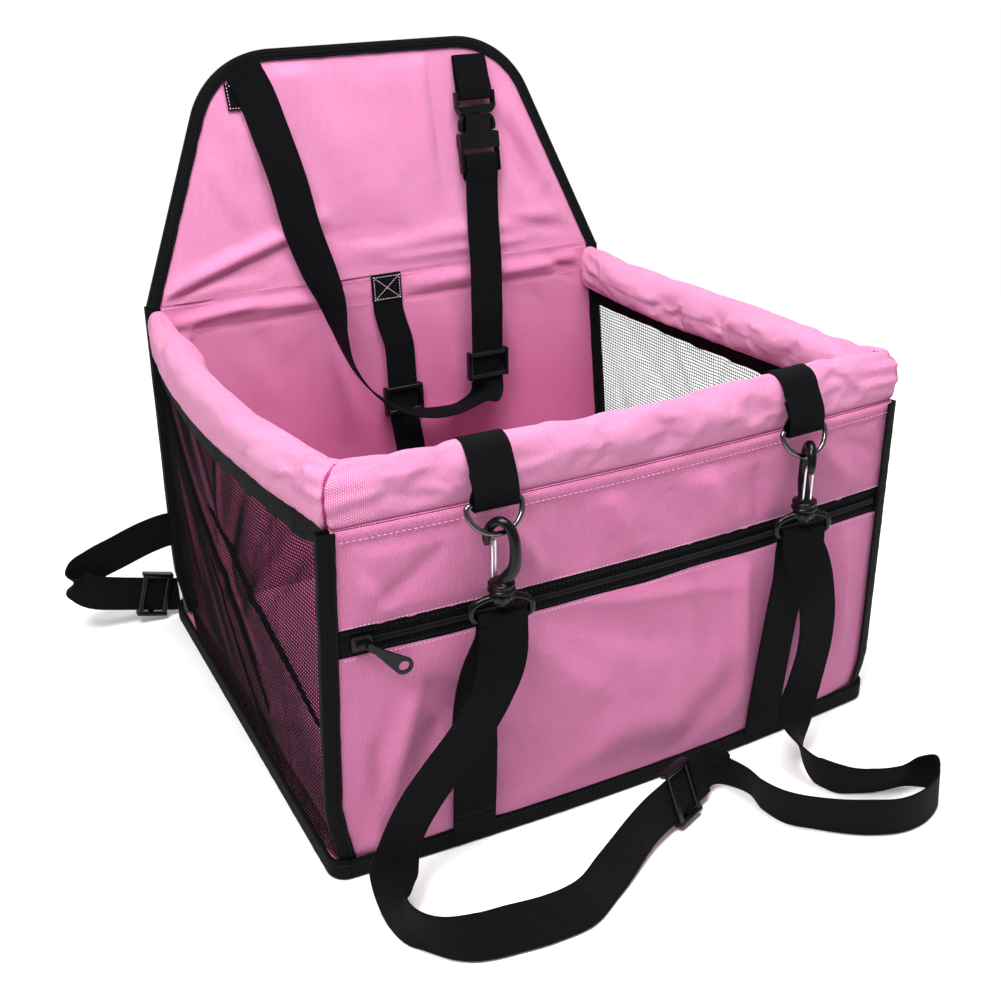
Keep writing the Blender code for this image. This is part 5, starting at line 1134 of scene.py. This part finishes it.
def netPoint(side, t, h, off=0.0):
    top = sideRim(side, t).z - sideRimHigh(t) / 2 - 0.0003
    z = lerp(bed["wallFoot"], top, h)
    front, back = frontY(halfWidth(z), z) + 0.0054, backY(z) - netBack
    fade = ease(within(min(t, 1 - t), 0.0, 0.06)) * ease(within(h, 0.05, 0.14)) * (0.55 if side < 0 else 0.6)
    sway = creases(t, h, net["folds"]) + 0.0022 * ripple((t * 0.35 + side, h * 0.21, 0), 0.07, 81)
    x = halfWidth(z) - net["inset"] + bed["rimBow"] * hump(t) * h + off + fade * sway - 0.0012 * fade
    return pullIn(Vector((side * x, lerp(front, back, t), z)))


def pleatLines(side, t0, h0, t1, h1, bow, wide):
    # a second layer where the net lies folded over itself, narrow at both ends
    def at(t, s):
        drop = wide * s * (0.35 + 0.65 * hump(t))
        return netPoint(side, lerp(t0, t1, t), lerp(h0, h1, t) + bow * hump(t) - drop, net["pleatOut"])
    return [[at(t, s) for t in steps(60)] for s in steps(7)] + [[at(t, s) for s in steps(2)] for t in steps(120)[:-1]]


def makeNet(side, word):
    columns, rows = round(net["long"] / net["pitch"]), round(net["high"] / net["pitch"])
    alongSide, alongUp = round(net["long"] / net["step"]), round(net["high"] / net["step"])
    uprights = [[netPoint(side, t, h * net["top"]) for h in steps(alongUp)] for t in steps(columns)]
    levels = [[netPoint(side, t, h * net["top"]) for t in steps(alongSide)] for h in steps(rows)]
    for pleat in net["pleats"] if side < 0 else []:
        levels += pleatLines(side, *pleat)
    # the upright strands are thinner, so that the holes stay open when the wall is seen from the front
    for name, lines, radius, nodes in (("side_mesh_", uprights, net["upright"], ["side_net_" + word]),
                                       ("side_mesh_rows_", levels, net["level"], [])):
        values = {"Strand radius": radius, "Sides": 3}
        settle(grown(name + word, lines, strandTree, values, finishes["black_mesh"]), "shell", "black_mesh", *nodes)


def makeNetHem(side, word):
    rings, out = [], Vector((side, 0, 0))
    for t in steps(150):
        low = netPoint(side, t, 0.938 + 0.012 * speck(t * 16, side, 1))
        high, foot = netPoint(side, t, 1.006), low - upward * 0.0005
        gather = 0.0005 * speck(t * 60, side * 3, 4)
        edge, lip, web = out * (0.0012 + gather), out * (0.0006 + gather), out * 0.0015
        rings.append([high - web, low - edge, foot - lip, foot + lip, low + edge, high + web])
    loftPiece("mesh_hem_" + word, rings, [0.0, 0.008, 0.0086, 0.0096, 0.0102, 0.0182], "shell", "net_tape_" + word)


for side, word in sides:
    makeNet(side, word)
    makeNetHem(side, word)
print("side nets made")


# the shorter straps

# x, z and distance from the pocket, in millimetres
anchorLines = {
    -1: metres([(-113.3, 15, 0.5), (-113.3, 40, 1), (-113.6, 70, 2.2), (-114.8, 100, 4.8), (-110.8, 130, 8.5)], 3),
    1: metres([(103.2, 15, 0.5), (103.4, 40, 1), (104, 70, 2.2), (104.5, 100, 4.8), (105.5, 130, 8.5)], 3)}


def beforePocket(x, z, off):
    return frontAt(x, z, pocketPuff(x, z) + off + strap["thick"] / 2)


def makeAnchor(side, word):
    points = [beforePocket(*row) for row in anchorLines[side]]
    points[0].z -= 0.0060
    turn = hookBarTurn(side)
    points += [turn[0] + Vector((0, 0.0006, -0.012)), turn[0] - upward * 0.003, *turn, turn[-1] - upward * 0.0025]
    along = Vector((1, fittingX(side) / bowRadius, 0))
    widths = [along] * 5 + [baseAcross] * (len(points) - 5)
    ribbon("anchor_webbing_" + word, points, widths, 120, "shell", "anchor_strap_" + word, seed=11 + side)


rimLoop = {"wide": 0.0265, "deep": 0.0250 / 2, "high": 0.0340 / 2, "power": 2.6, "snug": 0.0012, "lean": 0.0048,
           "start": -38, "end": 148}


def loopFront(x, z):  # middle of the webbing where it hangs before the rim
    return frontY(x, bed["hemHigh"]) - 0.0010 - (0.254 - z) * 0.6


def makeRimLoop(side, word):
    # over the padding, down in front, round the ring's bar and up again behind the front run
    x, lay = fittingX(side), strap["thick"] / 2 + strap["clearance"]
    centre = Vector((x, frontY(x, bed["hemHigh"]) + rimLoop["deep"], rimFrontZ))
    route = []
    for t in steps(16):
        c, s = blockRound(radians(lerp(rimLoop["start"], rimLoop["end"], t)), rimLoop["power"])
        a = rimLoop["deep"] + lay - rimLoop["snug"] * (1 - t) + 0.0012 * ease(within(t, 0.55, 1.0))
        b = rimLoop["high"] + lay - rimLoop["snug"]
        lean = rimLoop["lean"] * (1 - ease(within(t, 0.45, 1.0)) * 0.55)
        route.append(centre + Vector((lean, a * c, b * s)))
    bar = Vector((x + 0.0008, fitting["barY"], fitting["barHigh"]))
    turn = wrap(bar, toBack, fitting["ringWire"], fitting["ringWire"], -180, 0)
    route += [turn[0] + upward * 0.006, *turn, turn[-1] + Vector((0, -0.0008, 0.004)),
              Vector((x + 0.0012, loopFront(x, 0.2405) + 0.0017, 0.2405)),
              Vector((x + 0.0018, loopFront(x, 0.2480) + 0.0016, 0.2480))]
    across = Vector((1, x / bowRadius, 0))
    ribbon("rim_loop_webbing_" + word, route, [across] * len(route), 130, "shell", "rim_loop_" + word,
           wide=rimLoop["wide"], seed=15 + side)


# sag is measured from the flap's fold, left and sewn in the flap's own frame
headrest = {
    "x": 0.086, "y": -0.0066, "foot": 0.0680, "tailHigh": 0.1575, "adjuster": (0.0755, -0.0222, -0.0830),
    "sag": [(73.5, -23.2, -105.5, 0.92, -0.35, 0.1), (60, -25.7, -111.5, 0.45, -0.85, 0.25),
            (38, -31.7, -113, 0.05, -1, 0.12), (13, -35.7, -110, -0.02, -1, 0.05),
            (-14, -35.7, -100, -0.05, -1, 0.05), (-33, -32.7, -83, -0.1, -1, 0.05),
            (-46.5, -28.7, -60, -0.1, -1, 0), (-53, -24.7, -34, 0.1, -1, 0), (-56, -19.7, -10, 0.5, -0.85, 0.1)],
    "left": [(-62, -13, 12, 0.82, -0.55, 0.1), (-69, -11, 40, 0.93, -0.35, 0.15), (-75, -9, 80, 0.96, -0.15, 0.22),
             (-82.8, -6, 116, 0.95, -0.12, 0.27), (-88.5, -4.2, 140, 0.96, -0.05, 0.3),
             (-93.2, -3.6, 152.5, 0.96, 0, 0.32)],
    "sewn": [(-90.5, -2.6, 145.5, 0.96, 0, 0.32), (-93.2, -2.5, 152.5, 0.96, 0, 0.32),
             (-96.5, -2.4, 161, 0.96, 0, 0.32)]}


def makeHeadrestStraps():
    x, y, foldY, foldZ = headrest["x"], headrest["y"], backY(bed["foldHigh"]), bed["foldHigh"]

    def buckleTurn(high, start, end):
        bar = Vector((x, y, headrest["foot"] + high))
        return wrap(bar, -toBack, 0.0022, 0.0018, start, end, 12, 8)
    turn = buckleTurn(0.0591, 0, -180)
    local = [Vector((x, -0.0038, headrest["tailHigh"])), turn[0] + Vector((0, 0.003, 0.014)),
             turn[0] + upward * 0.004, *turn, turn[-1] + upward * 0.004, turn[-1] + Vector((0, 0.0006, 0.014)),
             Vector((x, -0.0016, headrest["tailHigh"]))]
    ribbon("buckle_tail_webbing", [flapFrame @ p for p in local], [toRight] * len(local), 90, "headrest",
           "buckle_tail", seed=21)
    turn = buckleTurn(0.0110, 180, 0)
    local = [turn[0] - upward * 0.016, turn[0] - upward * 0.006, *turn, turn[-1] - upward * 0.006,
             turn[-1] + Vector((-0.001, 0.001, -0.018)), Vector((x - 0.003, -0.0085, 0.030))]
    ax, ay, az = headrest["adjuster"]
    right = [flapFrame @ p for p in local]
    right += [Vector((x - 0.0055, foldY - 0.012, foldZ - 0.002)), Vector((x - 0.0085, foldY - 0.0185, foldZ - 0.028)),
              Vector((ax + 0.0002, foldY + ay, foldZ - 0.043))]
    right += reversed(straight(Vector((ax, foldY + ay, foldZ + az + 0.0105)), upward, 0.0235))
    rows = [(p, toRight) for p in right]
    rows += [(p + Vector((0, foldY, foldZ)), w) for p, w in strapRows(headrest["sag"])]
    rows += [(flapFrame @ p, w) for p, w in strapRows(headrest["left"])]
    ribbon("headrest_webbing", [p for p, _ in rows], [w for _, w in rows], 300, "headrest", "headrest_strap", seed=23)
    # the strap's last stretch is sewn to the flap and stays on it when the rest hangs
    rows = strapRows(headrest["sewn"])
    ribbon("headrest_sewn_end", [flapFrame @ p for p, _ in rows], [w for _, w in rows], 12, "flap", seed=24)


leash = {"x": 0.0030, "patchX": -0.0030, "wide": 0.025, "clipBar": 0.1440, "adjuster": 0.0730, "patchHalf": 0.0125}


def patchEdge(u, v):
    # 0 on a patch's border and 1 a little way in
    return ease(within(1 - max(abs(2 * u - 1), abs(2 * v - 1)), 0.0, 0.25))


def makeLeash():
    low, x, patchX = bed["hemHigh"] + 0.001, leash["x"], leash["patchX"]
    turn = wrap(backAt(x, bed["hemHigh"] - leash["clipBar"], 0.0074), -toBack, 0.0035, 0.0016, 0, -180, 10, 8)
    lean = Vector((0, bed["backLean"] / bed["hemHigh"], 1)).normalized()
    points = [backAt(patchX, low + 0.0015, 0.0012), backAt(patchX, low - 0.003, 0.0013),
              backAt(patchX, low - 0.006, 0.0014), backAt(-0.0012, low - 0.018, 0.0024),
              backAt(0.0024, low - 0.034, 0.0042)]
    points += reversed(straight(backAt(x, bed["hemHigh"] - leash["adjuster"], 0.0046), lean, 0.0225))
    points += [turn[0] + Vector((0, 0.0015, 0.022)), turn[0] + upward * 0.006, *turn,
               turn[-1] + Vector((0, 0.0003, 0.005)), turn[-1] + Vector((0, 0.0008, 0.013))]
    ribbon("leash_webbing", points, [toRight] * len(points), 130, "shell", "leash_strap", wide=leash["wide"], seed=31)

    def patchAt(u, v, face):
        puff = 0.0004 * patchEdge(u, v) + 0.0002 * speck(u * 3, v * 3, 7)
        return backAt(patchX + lerp(-leash["patchHalf"], leash["patchHalf"], u),
                      lerp(low, bed["foldHigh"] - 0.0012, v), 0.0003 if face else 0.0018 + puff)
    softSheet("leash_patch_webbing", patchAt, 24, 20, webbingFinish, "shell", "black_webbing", "leash_patch",
              lambda u, v: (u * 0.025, v * 0.021))


def makeEndPatch():
    # the square on the flap that the headrest strap's left end is sewn under
    a, b, c, d = [Vector(p) for p in ((-0.1095, 0.131), (-0.0815, 0.131), (-0.0815, 0.150), (-0.1105, 0.150))]

    def endAt(u, v, face):
        p = a.lerp(b, u).lerp(d.lerp(c, u), v)
        return flapWorld(p.x, -0.0002 if face else -0.0018 - 0.0003 * patchEdge(u, v), p.y)
    softSheet("strap_end_webbing", endAt, 24, 18, webbingFinish, "flap", "black_webbing", "strap_end_patch",
              lambda u, v: (u * 0.028, v * 0.019))


for side, word in sides:
    makeAnchor(side, word)
for side, word in sides:
    makeRimLoop(side, word)
makeHeadrestStraps()
makeLeash()
makeEndPatch()
print("short straps made")


# zip

zipper = {"pitch": 1.3, "tooth": (0.85, 1.6, 1.9), "inset": 0.0092, "tapeHalf": 0.0090, "rowGap": 0.00105}


def makeZip():
    high = bed["zipHigh"]
    half = halfWidth(high) - bed["inset"]

    def tapeAt(u, v, face):
        x, z = lerp(-1, 1, u) * half, high + lerp(-zipper["tapeHalf"], zipper["tapeHalf"], v)
        sunk = 0.0005 * exp(-((abs(z - high) - 0.0032) / 0.0012) ** 2)
        sway = 0.00025 * speck(x / 0.02, z / 0.004, 3)
        return frontAt(x, z, -0.0015 if face else 0.0002 - sunk + sway)
    softSheet("zip_tapes", tapeAt, 220, 20, tapeFinish, "shell", "zip", "zip_chain", lambda u, v: (u * 0.38, v * 0.014))
    reach = half - zipper["inset"]
    for name, shift, ahead in (("upper", zipper["rowGap"], 0.0), ("lower", -zipper["rowGap"], zipper["pitch"] / 2000)):
        line = [frontAt(lerp(-reach, reach, t), high + shift, 0.00075) + toRight * ahead for t in steps(160)]
        sew("zip_teeth_" + name, [line], "zip_black", "shell", "zip", zipper["pitch"], zipper["tooth"], 3, 0.0)


makeZip()
print("zip made")


# sewing

def line(start, end, place, count=80):
    return [place(lerp(start[0], end[0], t), lerp(start[1], end[1], t)) for t in steps(count)]


def levelLine(half, z, off, count=160):
    return line((-half, z), (half, z), lambda x, z: frontAt(x, z, off), count)


def boxWithCross(x0, z0, x1, z1, place):
    # the square and the cross that fasten a strap end
    a, b, c, d = (x0, z0), (x1, z0), (x1, z1), (x0, z1)
    return [line(p, q, place, 12) for p, q in ((a, b), (b, c), (c, d), (d, a), (a, c), (b, d))]


def makeSewing():
    turn = frontWall["turn"]
    sew("hem_stitches", [levelLine(0.184, 0.2225, 0.0009)], "pink_thread", "shell", "pink_cloth", 3.4,
        (2.4, 0.5, 0.4), 5)
    # painted shadow: a close line of dark thread in the crease under the rim
    crease = [p + upward * (0.2291 - turn) for p in levelLine(0.187, turn, -0.0009)]
    sew("hem_crease_seam", [crease], "seam_pink", "shell", "pink_cloth", 1.8, (1.9, 0.9, 0.7), 15)
    rows = [levelLine(0.186, 0.1706, 0.0009), levelLine(0.186, 0.1504, 0.0008)]
    sew("zip_edge_stitches", rows, "pale_thread", "shell", "pink_cloth", 2.4, (1.4, 0.5, 0.4), 6)
    rows = [levelLine(0.186, z, 0.0004) for z in (0.1540, 0.1668)]
    sew("zip_tape_stitches", rows, "black_thread", "shell", "zip", 3.0, (2.1, 0.45, 0.4), 7)
    rows = [line((x0, z), (x1, z), lambda x, z: backAt(x, z, 0.0004), 90)
            for z in backWall["seams"] for x0, x1 in ((-0.180, -0.018), (0.012, 0.180))]
    sew("back_seam_stitches", rows, "pink_thread", "shell", "pink_lining", 3.4, (2.4, 0.5, 0.4), 8)
    patch = boxWithCross(-0.0137, 0.2296, 0.0077, 0.2472, lambda x, z: backAt(x, z, 0.0023))
    sew("leash_cross_stitches", patch, "pale_thread", "shell", "black_webbing", 2.1, (1.6, 0.4, 0.4), 9)
    ends = [line(a, b, lambda x, s: flapWorld(x, -0.0021, s), count) for a, b, count in (
        ((-0.1083, 0.1330), (-0.1092, 0.1490), 20), ((-0.1083, 0.1324), (-0.0830, 0.1324), 24),
        ((-0.1070, 0.1480), (-0.0980, 0.1420), 12))]
    sew("strap_end_stitches", ends, "pale_thread", "flap", "black_webbing", 2.1, (1.5, 0.4, 0.4), 10)
    # the bound edges
    edges = []
    for side, out in cornerTapes["front"]["out"].items():
        zs = [lerp(0.020, 0.222, t) for t in steps(90)]
        edges.append([frontAt(side * (halfWidth(z) - bed["inset"] + out * ease(within(z, 0.004, 0.06)) - 0.0070),
                              z, 0.0020) for z in zs])
    sew("corner_tape_stitches", edges, "black_thread", "shell", "black_tape", 3.0, (2.2, 0.4, 0.4), 12)
    edge = []
    for p, out in outwardOf(flapOutline(30)[2:-2]):
        q = p - out * 0.0054
        edge.append(flapWorld(q.x, -0.0020, q.y))
    sew("flap_tape_stitches", [edge], "black_thread", "flap", "black_tape", 3.0, (2.2, 0.4, 0.4), 13)
    ring = [Vector((x, y, 0.0105)) for x, y in baseOutline(0.0030)]
    sew("base_tape_stitches", [ring], "black_thread", "shell", "black_tape", 3.2, (2.3, 0.4, 0.4), 14)
    for side, word in sides:  # the rim's puckered corner seams
        seam = []
        for t in steps(30):
            a, b = rimSection(radians(lerp(232, 80, t)), bed["rimThick"] - 0.0046, bed["rimHigh"] - 0.0026)
            seam.append(sideRim(side, 0.0) + Vector((-side * a, a, b)))
        # the dark thread here is partly a painted shadow along the corner crease
        sew("corner_seam_stitches_" + word, [seam], "seam_pink", "shell", "pink_cloth", 2.2, (1.9, 0.6, 0.5), 16 + side)
    for side, word in sides:  # the anchor strap's foot and the end of the rim loop
        x = anchorLines[side][0][0]
        rows = [line((x - 0.0115, z), (x + 0.0115, z), lambda a, z: beforePocket(a, z, 0.0018), 12)
                for z in (0.0165, 0.0190, 0.0240)]
        sew("anchor_foot_stitches_" + word, rows, "black_thread", "shell", "black_webbing", 1.8, (1.4, 0.4, 0.4),
            18 + side)
        x = fittingX(side)
        rows = [line((x - 0.0110, z), (x + 0.0110, z),
                     lambda a, z: Vector((a + 0.0012, loopFront(a, z) - 0.0008, z)), 10) for z in (0.2412, 0.2427)]
        sew("loop_stitches_" + word, rows, "black_thread", "shell", "black_webbing", 1.7, (1.3, 0.4, 0.4), 20 + side)


makeSewing()
print("sewing made")


# fittings made of hard parts

# finish and broken edge for each of the solids' own materials
hardParts = {"black_plastic": ("black_plastic", 0.00045), "dark_metal": ("dark_chrome", 0.0),
             "steel_wire": ("bright_wire", 0.0), "stiffener": ("grey_board", 0.0004), "rod_plastic": ("pale_rod", 0.0)}


def dressFittings():
    # every hard part is drawn from its own solid: joined, its edges broken and its wires made round
    slots = {row["node"]: row["material_slot"] for row in frame["record"]["subparts"]}
    for node, source in list(frame["nodes"].items()):
        if slots.get(node) not in hardParts:
            continue
        finish, edge = hardParts[slots[node]]
        if node.startswith("zip"):
            finish, edge = "black_paint", 0.0003
        if node.startswith(("snap_hook", "hook_base")):
            edge = 0.0
        mesh = source.data.copy()
        mesh.name = node + "_shaped"
        bm = bmesh.new()
        bm.from_mesh(mesh)
        bmesh.ops.remove_doubles(bm, verts=bm.verts, dist=0.000002)
        if edge:
            bmesh.ops.dissolve_limit(bm, angle_limit=radians(2), verts=bm.verts, edges=bm.edges)
        bm.to_mesh(mesh)
        bm.free()
        mesh.materials.clear()
        mesh.materials.append(finishes[finish])
        mesh.shade_smooth()
        obj = show(node + "_shaped", mesh)
        obj.matrix_world = source.matrix_world.copy()
        if edge:
            mod = obj.modifiers.new("Edges", "BEVEL")
            mod.width, mod.segments, mod.limit_method, mod.angle_limit = edge, 2, "ANGLE", radians(32)
            mesh.set_sharp_from_angle(angle=radians(34))
        elif node.startswith(("d_ring", "gate", "snap_hook", "hook_base")):
            mod = obj.modifiers.new("Round", "SUBSURF")
            mod.levels = mod.render_levels = 2 if node.startswith("d_ring") else 1
        else:
            mesh.set_sharp_from_angle(angle=radians(40))
        settle(obj, source.parent.name.split(":")[1], slots[node], node)


def declareStraps():
    for adjuster, (obj, path) in seatStraps.items():
        print(obj.name, "runs", round(obj["run"], 4))
        tuple(path[0])
        [tuple(p) for p in path]


dressFittings()
declareStraps()


# floor and light

stage = {"half": 3.0, "low": -0.0006, "fade": (0.55, 1.15), "sky": 0.30,
         # place, aim, size, power
         "lights": {"key": ((-0.70, -0.55, 1.50), (0, 0.10, 0.20), 0.6, 25.0),
                    "fill": ((1.5, -1.2, 0.8), (0, 0, 0.15), 1.4, 3.0),
                    "top": ((0.10, -0.24, 1.55), (0, 0.15, 0.25), 0.7, 24.0),
                    "rear": ((0.60, 1.60, 0.90), (0, 0, 0.15), 1.4, 9.0)}}


def makeFloorSheet():
    # white under the bed, and clear further out
    n = Nodes("white_floor")
    away = n.add("ShaderNodeVectorMath", {0: n.place()}, operation="LENGTH")
    n.shade({"Base Color": (0.97, 0.97, 0.97, 1.0), "Roughness": 0.9, "Specular IOR Level": 0.1})
    clear = n.add("ShaderNodeBsdfTransparent")
    blend = n.add("ShaderNodeMixShader", {0: n.ramp(away.outputs["Value"], *stage["fade"]),
                                          1: n.shader.outputs[0], 2: clear.outputs[0]})
    n.put(n.tree.nodes["Material Output"].inputs["Surface"], blend.outputs[0])
    a, z = stage["half"], stage["low"]
    mesh = bpy.data.meshes.new("floor")
    mesh.from_pydata([(-a, -a, z), (a, -a, z), (a, a, z), (-a, a, z)], [], [(0, 1, 2, 3)])
    mesh.materials.append(n.material)
    show("floor", mesh)


def makeSky():
    # a soft light from all round, and plain white where the camera looks past the bed
    world = bpy.data.worlds.new("studio")
    bpy.context.scene.world = world
    world.use_nodes = True
    tree = world.node_tree
    soft, white = tree.nodes["Background"], tree.nodes.new("ShaderNodeBackground")
    for node, strength in ((soft, stage["sky"]), (white, 1.0)):
        node.inputs["Color"].default_value = (1.0, 1.0, 1.0, 1.0)
        node.inputs["Strength"].default_value = strength
    ray, blend = tree.nodes.new("ShaderNodeLightPath"), tree.nodes.new("ShaderNodeMixShader")
    for k, output in enumerate((ray.outputs["Is Camera Ray"], soft.outputs[0], white.outputs[0])):
        tree.links.new(output, blend.inputs[k])
    tree.links.new(blend.outputs[0], tree.nodes["World Output"].inputs["Surface"])


def makeLights():
    for name, (place, aim, size, power) in stage["lights"].items():
        data = bpy.data.lights.new(name, "AREA")
        data.size, data.energy = size, power
        lamp = show(name, data)
        lamp.location = place
        lamp.rotation_euler = (Vector(place) - Vector(aim)).to_track_quat("Z", "Y").to_euler()


makeFloorSheet()
makeSky()
makeLights()
bpy.context.scene.view_settings.view_transform = "Standard"
